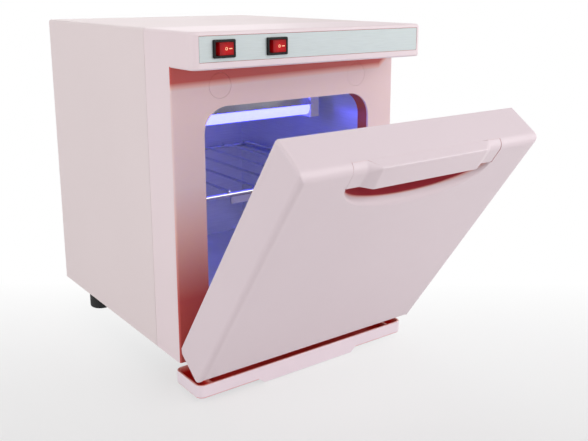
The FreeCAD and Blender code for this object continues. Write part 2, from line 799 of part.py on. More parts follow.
def door_form(inset, rear):
    """The door's outer form drawn in by an inset, up to a rear plane, with its long front edges rounded."""
    block_z = (door_low + inset, door_top - inset)
    block = box(span(0, cabinet_width - 2 * inset), (door_face + inset, rear), block_z)
    block = rounded(block, door_bottom_radius - inset, ACROSS, lambda p: p.y < panel_front and p.z < axis_z)
    return rounded(block, door_top_radius - inset, ACROSS, lambda p: p.y < panel_front and p.z > axis_z)


def door_outside():
    """The door's outer form with its front side edges rounded too."""
    return rounded(door_form(0, door_rear), door_side_radius, UP, lambda p: p.y < panel_front)


def door_shell():
    """Moulded door pan, open behind, with the finger pocket's walls and slots for the hinge ears."""
    shell = door_outside()
    heel = edges_along(shell, ACROSS, lambda p: p.y > panel_front and p.z < axis_z)
    shell = shell.makeChamfer(door_heel, heel).cut(finger_pocket(0, recess_lip_steps))
    hollow = door_form(door_wall, overrun).cut(finger_pocket(door_wall, 1))
    slot = hinge_slot()
    return shell.cut(hollow).cut(slot.fuse(mirrored(slot))).removeSplitter()


def door_inner_panel():
    """Flat rear of the door with a sunk field, seats for the strikes and slots for the hinge ears."""
    inset = door_wall + fit_gap
    panel_z = (door_low + inset, door_top - inset)
    panel = box(span(0, cabinet_width - 2 * inset), (panel_front, door_rear), panel_z)
    panel = panel.cut(opening_slab(-panel_field_margin, (door_rear - panel_field_depth, overrun)))
    for side in (-1, 1):
        seat = strike_width + 2 * snug_gap
        seat_y = (door_rear - strike_thickness, overrun)
        panel = panel.cut(box(span(side * catch_x, seat), seat_y, span(catch_z, seat)))
    slot = hinge_slot()
    return panel.cut(slot.fuse(mirrored(slot)))


def door_foam():
    """Insulating slab in the door, bevelled in front and cut away round the pocket and hinges."""
    gap = door_wall + fit_gap
    front = door_face + gap
    back = panel_front - fit_gap
    low = door_low + gap
    high = door_top - gap
    side = half_width - door_side_radius
    outline = [V(-side, y, z) for y, z in ((front + door_bottom_radius, low), (back, low), (back, high),
                                           (front + door_top_radius, high), (front, high - door_top_radius),
                                           (front, low + door_bottom_radius))]
    foam = prism(outline, ACROSS * (2 * side))
    hinge_z = (door_low, axis_z + block_top + fit_gap)
    room = box((block_x_inner - fit_gap, half_width), (door_face, 0), hinge_z)
    pocket_y = (door_face, door_face + recess_depth + gap)
    pocket_z = (handle_low - recess_drop - recess_lip_drop - gap, door_top)
    pocket = box(span(0, handle_width + 2 * (gap + fit_gap)), pocket_y, pocket_z)
    return foam.cut(pocket.fuse([room, mirrored(room)]))


def door_seal():
    """Soft frame on the inner panel that meets the cabinet's face round the opening."""
    outer = opening_slab(seal_inset + seal_width, (door_rear, -fit_gap))
    return outer.cut(opening_slab(seal_inset, (door_rear - overrun, overrun)))


def strike_plate():
    """Square steel plate let into the inner panel, facing its magnet."""
    along = (door_rear - strike_thickness, door_rear)
    return box(span(catch_x, strike_width), along, span(catch_z, strike_width))


def door_handle():
    """Grip insert: a plate that follows the door's edge, a raised grip with sloped ends, two legs behind."""
    low = handle_low + fit_gap
    plate_back = door_face + handle_plate
    plate = box(span(0, handle_width), (door_face - overrun, plate_back), (low, door_top + overrun))
    plate = door_form(0, door_rear).common(plate)
    half = grip_width / 2
    ahead = door_face - grip_rise
    end = half + grip_slope
    corners = ((-end, door_face), (-half, ahead), (half, ahead), (end, door_face),
               (end, plate_back), (-end, plate_back))
    grip = prism([V(x, y, low) for x, y in corners], UP * (door_top - low))
    grip = rounded(grip, grip_edge_radius, ACROSS, lambda p: p.y < door_face - grip_rise / 2)
    leg_outer = recess_width / 2 - handle_leg_margin
    leg = box((leg_outer - handle_leg, leg_outer), (plate_back - overrun / 2, door_face + recess_depth),
              (low + handle_leg_margin, door_top - door_wall - handle_leg_margin))
    return plate.fuse([grip, leg, mirrored(leg)]).removeSplitter()


def drip_tray():
    """Shallow trough with end ribs, a pull lip under its front edge and two tongues behind."""
    half = tray_width / 2
    outside = box((-half, half), (-tray_front, tray_back), (tray_floor_height, tray_rim_height))
    outside = rounded(outside, tray_corner_radius, UP)
    under = edges_along(outside, ACROSS, lambda p: p.z < tray_floor_height + fit_gap)
    outside = outside.makeChamfer(tray_bevel, under)
    side = half - tray_wall
    hollow = box((-side, side), (tray_wall - tray_front, tray_back - tray_wall),
                 (tray_floor_height + tray_wall, tray_rim_height + overrun))
    tray = outside.cut(rounded(hollow, tray_corner_radius - tray_wall, UP))
    rib_z = (tray_floor_height + tray_wall / 2, tray_rim_height - tray_rib_drop)
    rib = box((half - tray_rib_inset - tray_rib_width, half - tray_rib_inset),
              (tray_wall / 2 - tray_front, tray_back - tray_wall / 2), rib_z)
    pull_half = tray_pull_width / 2
    pull_low = tray_floor_height - tray_pull_drop
    pull_top = tray_floor_height + tray_pull_thickness
    corners = ((-pull_half - tray_pull_slope, pull_top), (-pull_half, pull_low), (pull_half, pull_low),
               (pull_half + tray_pull_slope, pull_top))
    pull = prism([V(x, -tray_front, z) for x, z in corners], BACKWARD * tray_pull_thickness)
    arm_x = span(tongue_x, tongue_width)
    arm_y = tray_back - tray_wall
    tongue_top = tongue_level + tongue_thickness
    riser = box(arm_x, (arm_y, tray_back), (tray_rim_height - tray_wall, tongue_top))
    tongue = box(arm_x, (arm_y, tray_back + tongue_reach), (tongue_level, tongue_top))
    arm = riser.fuse(tongue)
    return tray.fuse([rib, mirrored(rib), pull, arm, mirrored(arm)]).removeSplitter()


def tray_runner():
    """Channel under the base that the tray's tongue slides in, open in front and below."""
    way_width = tongue_width + 2 * fit_gap
    outer_x = span(tongue_x, 2 * runner_half)
    body = box(outer_x, (runner_front, runner_back), (runner_low, bottom_z))
    along = (runner_front - overrun, runner_back - runner_wall)
    way_z = (tongue_level - fit_gap, tongue_level + tongue_thickness + fit_gap)
    way = box(span(tongue_x, way_width), along, way_z)
    mouth = box(span(tongue_x, runner_mouth), along, (runner_low - overrun, tongue_level))
    return body.cut(way.fuse(mouth))


def cabinet_nodes():
    """Everything that stays still."""
    return {
        "front_housing": front_housing(),
        "outer_wrapper": outer_wrapper(),
        "base_plate": base_plate(),
        "back_panel": back_panel(),
        "cord_gland": cord_gland(),
        "control_plate": control_plate(),
        "rocker_frame_uv": rocker_frame(uv_switch_x),
        "rocker_frame_power": rocker_frame(power_switch_x),
        "magnet_caps": both_sides(magnet_cap()),
        "catch_magnets": both_sides(catch_magnet()),
        "chamber_liner": chamber_liner(),
        "insulation_right": insulation_side(),
        "insulation_left": mirrored(insulation_side()),
        "insulation_top": insulation_top(),
        "insulation_back": insulation_back(),
        "insulation_bottom": insulation_bottom(),
        "heater_plate": heater_plate(),
        "heater_element": heater_element(),
        "thermostat": thermostat(),
        "lamp_tube": lamp_tube(),
        "lamp_holders": both_sides(lamp_holder()),
        "lamp_reflector": lamp_reflector(),
        "component_plate": component_plate(),
        "lamp_ballast": lamp_ballast(),
        "terminal_block": terminal_block(),
        "towel_rack": towel_rack(),
        "rack_rails": both_sides(rack_rail()),
        "hinge_brackets": both_sides(hinge_bracket()),
        "tray_runners": both_sides(tray_runner()),
        "feet": Part.makeCompound([foot(point) for point in foot_points()]),
    }


def door_nodes():
    """Everything that swings with the door, shut."""
    return {
        "door_shell": door_shell(),
        "door_inner_panel": door_inner_panel(),
        "door_foam": door_foam(),
        "door_seal": door_seal(),
        "door_handle": door_handle(),
        "strike_plates": both_sides(strike_plate()),
        "hinge_blocks": both_sides(hinge_block()),
    }


def all_nodes():
    """Every piece at rest, centred over the footprint, and the shift that centred it."""
    nodes = cabinet_nodes()
    for name, shape in door_nodes().items():
        shape.rotate(V(0, axis_y, axis_z), ACROSS, door_open_angle)
        nodes[name] = shape
    nodes["rocker_uv"] = rocker(uv_switch_x)
    nodes["rocker_power"] = rocker(power_switch_x)
    nodes["drip_tray"] = drip_tray()
    front = min(shape.BoundBox.YMin for shape in nodes.values())
    back = max(shape.BoundBox.YMax for shape in nodes.values())
    shift = BACKWARD * (-(front + back) / 2)
    for shape in nodes.values():
        shape.translate(shift)
    return nodes, shift


def main():
    """Writes one file for each piece and prints where the joints are."""
    os.makedirs("parts", exist_ok=True)
    nodes, shift = all_nodes()
    for name, shape in nodes.items():
        shape.exportStep("parts/" + name + ".step")
        print(name, len(shape.Solids), "solids, valid:", shape.isValid(), "volume:", round(shape.Volume))
    print("frame's face at Y", round(shift.y, 3))
    print("door hinge at Y, Z", round(axis_y + shift.y, 3), axis_z)
    print("rocker pivots at Y, Z", round(rocker_y + shift.y, 3), strip_z)


main()
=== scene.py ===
import bmesh
import bpy
import json
import math
import numpy as np
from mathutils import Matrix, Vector


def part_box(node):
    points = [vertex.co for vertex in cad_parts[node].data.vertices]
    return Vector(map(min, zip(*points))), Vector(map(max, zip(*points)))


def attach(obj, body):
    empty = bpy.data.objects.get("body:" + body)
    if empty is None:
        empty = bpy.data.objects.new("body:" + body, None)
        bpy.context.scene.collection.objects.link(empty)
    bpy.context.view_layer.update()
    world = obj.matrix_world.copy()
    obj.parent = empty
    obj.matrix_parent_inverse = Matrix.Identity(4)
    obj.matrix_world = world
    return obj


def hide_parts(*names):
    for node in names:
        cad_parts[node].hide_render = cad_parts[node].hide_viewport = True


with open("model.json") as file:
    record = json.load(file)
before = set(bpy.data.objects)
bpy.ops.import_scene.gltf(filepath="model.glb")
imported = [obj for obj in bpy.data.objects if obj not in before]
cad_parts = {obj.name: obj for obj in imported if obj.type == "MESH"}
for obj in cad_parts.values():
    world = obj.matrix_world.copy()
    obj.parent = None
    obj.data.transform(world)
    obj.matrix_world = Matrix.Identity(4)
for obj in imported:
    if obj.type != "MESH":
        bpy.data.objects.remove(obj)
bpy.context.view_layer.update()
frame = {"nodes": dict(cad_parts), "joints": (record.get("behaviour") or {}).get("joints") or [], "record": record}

# Countertop towel warmer. Shapes are worked out in millimetres with the front frame's face at Y = 0,
# the floor at Z = 0 and the door shut, then brought to the frame's place in metres.

MM = 0.001
overrun = 5.0               # how far a cutting body runs past what it cuts
round_steps = 48            # points round a circle that shows closely

# Cabinet
half_width = 127.0
cabinet_depth = 282.0
underside = 31.0
cabinet_top = 331.0
housing_depth = 46.0
seam_y = 46.6
sheet = 1.0
fold_radius = 3.0

# Front housing
overhang_reach = 40.0
overhang_low = 300.0
overhang_corner = 7.0
overhang_bevel = 1.2
overhang_join = 2.0         # how far the frame runs up into the overhang
jamb_radius = 2.5
opening_x = 95.0
opening_low = 61.0
opening_high = 263.0
opening_radius = 24.0
lip_depth = 16.0
lip_wall = 2.5
housing_wall = 3.0
hollow_corner = 1.0
tongue_inset = 1.3          # tongue that slides inside the wrapper's front edge
tongue_wall = 1.4
tongue_root = 3.0
tongue_length = 6.0
cap_x = 78.0
cap_z = 281.5
cap_radius = 11.2
cap_gap = 0.16
cap_hole_depth = 8.0

# Control strip and switches
strip_half = 120.5
strip_z = 316.8
strip_half_height = 10.5
strip_face = -39.8
strip_floor = -39.0
strip_gap = 0.3
strip_top_gap = 0.4
strip_corner = 0.6
switch_places = {"uv": -97.5, "power": -45.0}
switch_hole_half = 9.7
switch_hole_half_height = 6.6
switch_hole_rear = -30.0
switch_rear = -19.8
bezel_half = 10.5
bezel_half_height = 7.5
bezel_face = -41.8
bezel_corner = 1.0
pit_half = 8.7
pit_half_height = 5.5
pit_corner = 0.4
pit_floor = -31.0
rocker_pivot_y = -39.4
rocker_half = 7.3
rocker_half_height = 5.2
rocker_rise = 3.0
rocker_edge = 0.45
rocker_rear = 6.0           # pivot to the rocker's rear
rocker_rear_half = 5.0
rocker_tilt = math.radians(8.0)
mark_proud = 0.06
mark_root = 0.2             # how far a mark is let into the rocker's face

# Chamber
liner_back = 241.0
liner_flange = 7.0
rack_bar_z = 175.4
rack_bar_radius = 2.0
rack_bar_places = (20.0, 226.0)
rack_side_gap = 2.0
rack_wires = 7
rack_wire_radius = 1.3
rack_wire_inset = 4.0       # outer wires in from the bars' ends
rack_strip_half = 57.0
rack_strip_depths = (19.2, 20.8)
rack_strip_levels = (166.4, 173.4)
rack_strip_corner = 0.5

# Door, shut
door_rear = -2.0
door_face = -40.0
door_low = 29.0
door_top = 298.0
door_side_round = 5.0
door_top_round = 8.0
door_bottom_round = 12.0
door_corner = 2.4
door_least_corner = 0.05
door_heel = 3.5
panel_half = 123.85
panel_front = -6.0
panel_edge = 3.2
panel_corner = 0.4
handle_half = 79.5
handle_low = 276.0
handle_back = -33.7
handle_gap = 0.3
handle_back_gap = 0.1
handle_leg_x = 71.75
handle_leg_half = 2.25
handle_leg_front = -36.0
handle_leg_levels = (278.0, 293.0)
handle_leg_corner = 0.4
handle_foot_round = 0.8
grip_half = 56.0
grip_slope = 10.0
grip_proud = 4.5
grip_upper_share = 0.8      # of the proud height, at the upper edge
grip_lower_share = 1.1
grip_crown_loss = 6.6       # how much less round its top edge is than the door's
grip_foot_gain = 0.5
scoop_overrun = 9.0
room_overrun = 7.0
seat_overrun = 12.0
room_gap = 0.4              # room behind the handle
room_floor_gap = 0.2
room_drop = 1.0
room_roof_wall = 3.0
room_corner = 2.0
seat_corner = 0.2
recess_half = 76.0
recess_drop = 25.0
recess_floor = -16.0
recess_floor_round = 6.0
recess_roof = 4.0           # how far the scoop runs up behind the handle
recess_lip_depth = 7.0
recess_lip_drop = 7.0
recess_lip_side = 3.3
recess_lip_power = 1.9
seal_inset = 1.5
seal_radius = 2.5
seal_rise = 1.68

# Hinge
hinge_x = 108.0
slot_half = 1.8
slot_half_height = 4.8
slot_depth = 9.0
slot_sweep = 45.0
eye_half = 6.3

# Drip tray
tray_half = 124.0
tray_front = -28.0
tray_back = 18.0
tray_low = 4.5
tray_rim = 18.0
tray_wall = 2.4
tray_corner = 7.0
tray_rib_x = 107.5
tray_rib_half = 1.5
tray_rib_drop = 2.5
tray_rib_corner = 0.5
tray_arm_x = 50.0
tray_arm_half = 13.0
tray_arm_end = 104.0
tray_arm_levels = (21.6, 24.6)
tray_arm_corner = 0.4
pull_half = 61.0
pull_straight_half = 53.0
pull_low = 1.3
pull_end_low = 7.4
pull_high = 7.5
pull_wall = 3.0

# Feet and rear screws
foot_radii = (9.6, 11.4, 12.6, 13.0, 13.0, 12.4, 12.4, 12.9, 12.9)
foot_levels = (0.0, 0.0, 0.9, 2.4, 20.0, 21.0, 23.5, 24.5, 31.0)
foot_places = ((84.0, 66.0), (-84.0, 66.0), (100.0, 246.0), (-100.0, 246.0))
screw_radii = (0.05, 1.6, 2.8, 3.3, 3.4, 3.4)
screw_levels = (1.7, 1.6, 1.2, 0.7, 0.3, -0.2)
screw_x = 118.0
screw_rows = (44.0, 181.0, 318.0)
cross_slots = ((1.7, 0.3, 0.9), (0.3, 1.7, 0.8))    # half width, half height and floor of each
cross_end = 3.0

# Softened edges, where a glow lies, and where painted shade lies on the pink plastics
sheet_edge = 0.25
moulded_edge = 0.5
tray_edge = 0.3
bezel_edge = 0.1
crease_angle = math.radians(32.0)
lit_right = 2.0                     # brightest place of a rocker, from its middle
lit_drop = 0.8
lit_reach = (10.0, 20.0, 7.5)
edge_room = 0.5                     # how far past an edge a place still counts as within it
side_room = 0.4
# Masks of the opening's lip and the finger pocket, where painted shade is deepened
lip_fade = (0.1, 2.5)
pocket_fade = (3.5, 8.5)
pocket_room = 1.0
pocket_lip_share = 1.5
pocket_top_wall = 2.0
# Painted shade inside the tray's trough
trough_room = 2.0
trough_shade_fade = (6.0, 0.5)
# Painted shade on the frame behind the door, and a painted shadow band under the overhang
door_shade_levels = (85.0, 195.0)        # behind the door: deepest below, gone above
door_shade_shares = (0.595, 0.70)
overhang_shadow_drops = (18.5, 10.5)           # band under the overhang: its lower and upper edge
overhang_shadow_shares = (0.72, 0.60)
overhang_shadow_tilt = 0.024
overhang_shadow_end_x = 108.0
overhang_shadow_end_share = 0.8
# Painted shade deepened inside the lip and the finger pocket
hollow_shade_share = 0.4                    # taken from the open share inside the lip and the finger pocket

frame_face_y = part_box("front_housing")[0][1] + overhang_reach * MM
hinge = next(joint for joint in frame["joints"] if joint["child"] == "door")
door_angle = math.radians(-hinge["range_deg"][0])
axis_y = (hinge["pos_m"][1] - frame_face_y) / MM
axis_z = hinge["pos_m"][2] / MM


def in_cabinet(points):
    """Millimetres of the cabinet to metres of the frame: a shift along Y and a change of unit."""
    return np.asarray(points, float) * MM + np.array([0.0, frame_face_y, 0.0])


def in_door(points):
    """The shut door's millimetres turned open about the hinge axis, then to metres of the frame."""
    points = np.array(points, float)
    ahead = points[..., 1] - axis_y
    above = points[..., 2] - axis_z
    turned = points.copy()
    turned[..., 1] = axis_y + ahead * math.cos(door_angle) - above * math.sin(door_angle)
    turned[..., 2] = axis_z + ahead * math.sin(door_angle) + above * math.cos(door_angle)
    return in_cabinet(turned)


def quarter(count):
    """Angles spread evenly over a quarter turn."""
    return np.linspace(0, math.pi / 2, count)


def rounded_outline(half_x, half_z, radius, middle_z=0.0, steps=8):
    """Rounded rectangle: a quarter circle of points at each corner, straight between them.
    Sizes may be columns, one row for each outline."""
    turn = quarter(steps + 1)
    turns = (np.arange(4)[:, None] * math.pi / 2 + turn).ravel()
    sign_x = np.repeat([1, -1, -1, 1], steps + 1)
    sign_z = np.repeat([1, 1, -1, -1], steps + 1)
    x = sign_x * (half_x - radius) + radius * np.cos(turns)
    z = middle_z + sign_z * (half_z - radius) + radius * np.sin(turns)
    return x, z


def column(*values):
    """Values as a column, so that each makes a row of a grid."""
    return np.array(values, float)[:, None]


def upright(x, y, z):
    """Grid of points from X, Y and Z rows that broadcast together."""
    return np.stack(np.broadcast_arrays(x, y, z), axis=-1)


def add_object(name, data):
    """New object in the scene."""
    made = bpy.data.objects.new(name, data)
    bpy.context.scene.collection.objects.link(made)
    return made


def add_mesh(name, points, faces):
    """Mesh object from points and faces, its doubles merged and its faces turned outwards."""
    mesh = bpy.data.meshes.new(name)
    mesh.from_pydata(points, [], faces)
    work = bmesh.new()
    work.from_mesh(mesh)
    bmesh.ops.remove_doubles(work, verts=work.verts, dist=1e-6)
    bmesh.ops.dissolve_degenerate(work, edges=work.edges, dist=1e-7)
    bmesh.ops.recalc_face_normals(work, faces=work.faces)
    work.to_mesh(mesh)
    work.free()
    return add_object(name, mesh)


def loft_faces(rows, across, start=0, capped=True):
    """Quads between neighbouring rings of a loft, with a flat face on each end."""
    index = start + np.arange(rows * across).reshape(rows, across)
    ahead = np.roll(index, -1, axis=1)
    quads = np.stack([index[:-1], ahead[:-1], ahead[1:], index[1:]], axis=-1)
    faces = quads.reshape(-1, 4).tolist()
    if capped:
        faces += [index[0].tolist(), index[-1][::-1].tolist()]
    return faces


def loft(name, grids, place=in_cabinet, capped=True):
    """One piece of closed lofts: each grid holds rings of points, one ring to a row."""
    points = []
    faces = []
    start = 0
    for grid in grids:
        rows, across = grid.shape[:2]
        points.append(place(grid).reshape(-1, 3))
        faces += loft_faces(rows, across, start, capped)
        start += rows * across
    return add_mesh(name, np.concatenate(points).tolist(), faces)


def about(middle, half):
    """Limits that lie evenly to both sides of a middle."""
    return middle - half, middle + half


def block(x, y, z, round_off=0.0, steps=3):
    """Rings of a block between pairs of limits, carried along Y, its edges along Y rounded."""
    half_x = (x[1] - x[0]) / 2
    half_z = (z[1] - z[0]) / 2
    across, high = rounded_outline(half_x, half_z, max(round_off, 1e-4), 0.0, steps)
    return upright(across + (x[0] + x[1]) / 2, column(*y), high + (z[0] + z[1]) / 2)


def tube(start, end, radius, steps=16, ends=4):
    """Round bar between two points: circles about its axis whose radius falls to nothing as a
    quarter circle at each end."""
    start = np.array(start, float)
    run = np.array(end, float) - start
    length = np.linalg.norm(run)
    along = run / length
    side = np.cross(along, [0.3, 0.5, 0.8])
    side /= np.linalg.norm(side)
    other = np.cross(along, side)
    bend = np.linspace(0.02, math.pi / 2, ends + 1)
    edge = min(radius, length / 2) * 0.6
    size = np.concatenate([np.sin(bend), np.sin(bend[::-1])]) * radius
    way = np.concatenate([edge * (1 - np.cos(bend)), length - edge * (1 - np.cos(bend[::-1]))])
    turn = np.linspace(0, 2 * math.pi, steps, endpoint=False)
    ring = np.cos(turn)[:, None] * side + np.sin(turn)[:, None] * other
    return start + way[:, None, None] * along + size[:, None, None] * ring


def turned_profile(centre, radii, levels, steps=32, axis=2):
    """Rings of a turned form: radius against level, carried round an upright or level axis."""
    turn = np.linspace(0, 2 * math.pi, steps, endpoint=False)
    radii = column(*radii)
    levels = column(*levels)
    across = centre[0] + radii * np.cos(turn)
    if axis == 2:
        return upright(across, centre[1] + radii * np.sin(turn), centre[2] + levels)
    return upright(across, centre[1] + levels, centre[2] + radii * np.sin(turn))


def applied(piece):
    """Takes the piece's modifiers into its mesh."""
    graph = bpy.context.evaluated_depsgraph_get()
    mesh = bpy.data.meshes.new_from_object(piece.evaluated_get(graph))
    piece.modifiers.clear()
    piece.data = mesh
    return piece


def combine(piece, tools, operation):
    """Cuts the tools out of a piece, or joins them to it, and removes them."""
    for tool in tools:
        change = piece.modifiers.new("shape", "BOOLEAN")
        change.operation = operation
        change.solver = "EXACT"
        change.object = tool
    applied(piece)
    for tool in tools:
        bpy.data.objects.remove(tool)
    return piece


def dressed(piece, body, slot, nodes=(), edge=0.0, finish=None):
    """Gives a piece its finish, the slot's own by default, softened edges and the body that it rides on, and
    hides the nodes that it stands for."""
    mesh = piece.data
    mesh.materials.clear()
    mesh.materials.append(finish or finishes[slot])
    mesh.shade_smooth()
    mesh.set_sharp_from_angle(angle=crease_angle)
    if edge:
        soften = piece.modifiers.new("soft edges", "BEVEL")
        soften.width = edge * MM
        soften.segments = 2
        soften.limit_method = "ANGLE"
        soften.angle_limit = crease_angle
        soften.use_clamp_overlap = True
        soften.miter_outer = "MITER_ARC"
    shade = piece.modifiers.new("even shading", "WEIGHTED_NORMAL")
    shade.keep_sharp = not edge
    shade.weight = 60
    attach(piece, body)
    if nodes:
        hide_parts(*nodes)


def colour(red, green, blue):
    """Display values of 0 to 255 as a linear colour."""
    value = np.array([red, green, blue]) / 255.0
    linear = np.where(value <= 0.04045, value / 12.92, ((value + 0.055) / 1.055) ** 2.4)
    return (*linear.tolist(), 1.0)


def feed(node, inputs):
    """Sets a node's inputs, each to a value or by a link from a socket."""
    for key, value in inputs.items():
        if isinstance(value, bpy.types.NodeSocket):
            node.id_data.links.new(value, node.inputs[key])
        else:
            node.inputs[key].default_value = value


def add_node(tree, kind, inputs, **settings):
    """New node in a tree, with its inputs and settings."""
    node = tree.nodes.new(kind)
    for key, value in settings.items():
        setattr(node, key, value)
    feed(node, inputs)
    return node


class Finish:
    """A material's node tree with its shader and object coordinates."""

    def __init__(self, name, base, rough, metal=0.0):
        """New material with a plain colour, roughness and share of metal."""
        self.material = bpy.data.materials.new(name)
        self.material.use_nodes = True
        self.tree = self.material.node_tree
        self.shader = self.tree.nodes["Principled BSDF"]
        self.shade({"Base Color": base, "Roughness": rough, "Metallic": metal})
        self.place = self.tree.nodes.new("ShaderNodeTexCoord").outputs["Object"]
        self.base = base
        self.rough = rough

    def shade(self, inputs):
        """Sets the shader's inputs."""
        feed(self.shader, inputs)

    def node(self, kind, inputs, **settings):
        """New node of the material."""
        return add_node(self.tree, kind, inputs, **settings)

    def mapped(self, kind="POINT", **inputs):
        """Object coordinates moved, turned or stretched."""
        inputs["Vector"] = self.place
        return self.node("ShaderNodeMapping", inputs, vector_type=kind).outputs["Vector"]

    def length(self, vector):
        """Length of a vector socket."""
        return self.node("ShaderNodeVectorMath", {0: vector}, operation="LENGTH").outputs["Value"]

    def noise(self, scale, detail=2.0, place=None):
        """Noise over a place, the object's own by default."""
        inputs = {"Vector": place or self.place, "Scale": scale, "Detail": detail}
        return self.node("ShaderNodeTexNoise", inputs).outputs["Fac"]

    def blend(self, factor, low, high):
        """Colour between two, each a colour or a socket, by a factor socket. Several sockets of this node
        share a name: its colours are inputs 6 and 7 and output 2."""
        return self.node("ShaderNodeMix", {0: factor, 6: low, 7: high}, data_type="RGBA").outputs[2]

    def spread(self, value, low, high, start=0.0, end=1.0):
        """Value between start and end carried to low and high."""
        inputs = {"Value": value, "From Min": start, "From Max": end, "To Min": low, "To Max": high}
        return self.node("ShaderNodeMapRange", inputs).outputs["Result"]

    def math(self, operation, first, second=0.0):
        """Sum, product or test of two values, each a number or a socket."""
        return self.node("ShaderNodeMath", {0: first, 1: second}, operation=operation).outputs[0]

    def axes(self, place=None):
        """X, Y and Z of a place, the object's own by default."""
        return self.node("ShaderNodeSeparateXYZ", {"Vector": place or self.place}).outputs[:]

    def bump(self, height, strength, distance):
        """Raises the surface by a height socket."""
        made = self.node("ShaderNodeBump", {"Height": height, "Strength": strength, "Distance": distance})
        self.shade({"Normal": made.outputs["Normal"]})

    def vary(self, scale, share, detail=3.0, place=None):
        """Base colour that wanders a little to both sides of its own."""
        low = tuple(c * (1 - share) for c in self.base[:3]) + (1.0,)
        high = tuple(min(1.0, c * (1 + share)) for c in self.base[:3]) + (1.0,)
        shade = self.spread(self.noise(scale, detail, place), 0.0, 1.0, 0.3, 0.7)
        return self.blend(shade, low, high)

    def rough_noise(self, scale, spread, place=None):
        """Roughness that wanders by the spread to both sides of its own."""
        value = self.spread(self.noise(scale, 3.0, place), self.rough - spread, self.rough + spread, 0.3, 0.7)
        self.shade({"Roughness": value})


def lip_share(made):
    """How far a point of the front frame lies inside the opening's return lip, from 0 to 1."""
    x, y, z = made.axes()
    level = made.math("ABSOLUTE", made.math("SUBTRACT", z, (opening_low + opening_high) / 2 * MM))
    inside_x = made.math("LESS_THAN", made.math("ABSOLUTE", x), (opening_x + edge_room) * MM)
    inside_z = made.math("LESS_THAN", level, ((opening_high - opening_low) / 2 + edge_room) * MM)
    inward = made.spread(y, 0.0, 1.0, *(frame_face_y + depth * MM for depth in lip_fade))
    return made.math("MULTIPLY", inward, made.math("MULTIPLY", inside_x, inside_z))


def frame_painted_shade(made, open_share):
    """Open share of the housing, which sets its painted shade: painted shade in the lip, painted shade on the
    frame that deepens downwards behind the door, a painted shadow band under the overhang that narrows to the
    right and ends there, and plain outer side walls."""
    x, y, z = made.axes()
    on_frame = made.math("MULTIPLY", made.math("GREATER_THAN", y, frame_face_y - edge_room * MM),
                         made.math("LESS_THAN", z, (overhang_low + edge_room) * MM))
    share = made.math("SUBTRACT", made.math("MAXIMUM", open_share, on_frame),
                      made.math("MULTIPLY", lip_share(made), hollow_shade_share))
    # Painted shade on the frame behind the door, deepest low down
    behind = made.spread(z, *door_shade_shares, *(level * MM for level in door_shade_levels))
    # Painted shadow band under the overhang, narrowing to the right and ending there
    past_end = made.math("MAXIMUM", made.math("SUBTRACT", x, overhang_shadow_end_x * MM), 0.0)
    tilt = made.math("ADD", made.math("MULTIPLY", x, overhang_shadow_tilt),
                     made.math("MULTIPLY", past_end, overhang_shadow_end_share))
    band = made.spread(made.math("SUBTRACT", z, tilt), *overhang_shadow_shares,
                       *((overhang_low - drop) * MM for drop in overhang_shadow_drops))
    # The deeper of the painted shade behind the door and the painted shadow band
    closed = made.math("MINIMUM", behind, band)
    share = made.math("MINIMUM", share, made.math("MAXIMUM", closed, made.math("SUBTRACT", 1.0, on_frame)))
    outer = made.math("GREATER_THAN", made.math("ABSOLUTE", x), (half_width - side_room) * MM)
    return made.math("MAXIMUM", share, outer)


def pocket_share(made):
    """How deep a point of the door lies in the finger pocket, from 0 to 1: the place is turned back to the
    shut door, then taken from the hinge axis."""
    axis = in_cabinet([0.0, axis_y, axis_z])
    x, y, z = made.axes(made.mapped("TEXTURE", Location=axis, Rotation=(door_angle, 0.0, 0.0)))
    face = (door_face - axis_y) * MM
    depth = made.spread(y, 0.0, 1.0, *(face + depth * MM for depth in pocket_fade))
    limits = (
        (made.math("ABSOLUTE", x), "LESS_THAN", recess_half + pocket_room),
        (y, "LESS_THAN", recess_floor - axis_y + pocket_room),
        (z, "GREATER_THAN", handle_low - recess_drop - pocket_lip_share * recess_lip_drop - axis_z),
        (z, "LESS_THAN", door_top - pocket_top_wall - axis_z),
    )
    for value, test, limit in limits:
        depth = made.math("MULTIPLY", depth, made.math(test, value, limit * MM))
    return depth


def door_painted_shade(made, open_share):
    """Open share of the door, which sets its painted shade: the finger pocket gets deeper painted shade."""
    return made.math("SUBTRACT", open_share, made.math("MULTIPLY", pocket_share(made), hollow_shade_share))


def spark_grain(made):
    """Fine grain of moulded plastic: a roughness that wanders a little and a low, close bump."""
    made.rough_noise(60.0, 0.03)
    made.bump(made.noise(1400.0, 2.0), 0.10, 0.0002)


def moulded(name, base, middle, deep, rough, reach, stops, shade_painter, inner=None):
    """Moulded plastic: fine spark grain, a slow drift of colour, and painted shade: deep rose painted where the
    surface turns in on itself, from ambient occlusion and the given painted shade function. The stops are the
    open shares at which the painted shade is deep, half gone and gone; the inner colour is the lip's painted
    shade."""
    made = Finish(name, base, rough)
    # Ambient occlusion, from which the painted shade is worked out
    shade = made.node("ShaderNodeAmbientOcclusion", {"Distance": reach}, samples=32)
    open_share = shade_painter(made, shade.outputs["AO"])
    # In the opening's lip the deep painted shade takes the lip's own painted shade colour
    if inner:
        deep = made.blend(lip_share(made), deep, inner)
    painted_shade_colour = made.blend(made.spread(open_share, 0.0, 1.0, stops[0], stops[1]), deep, middle)
    pale = made.spread(open_share, 0.0, 1.0, stops[1], stops[2])
    made.shade({"Base Color": made.blend(pale, painted_shade_colour, made.vary(7.0, 0.012))})
    spark_grain(made)
    return made.material


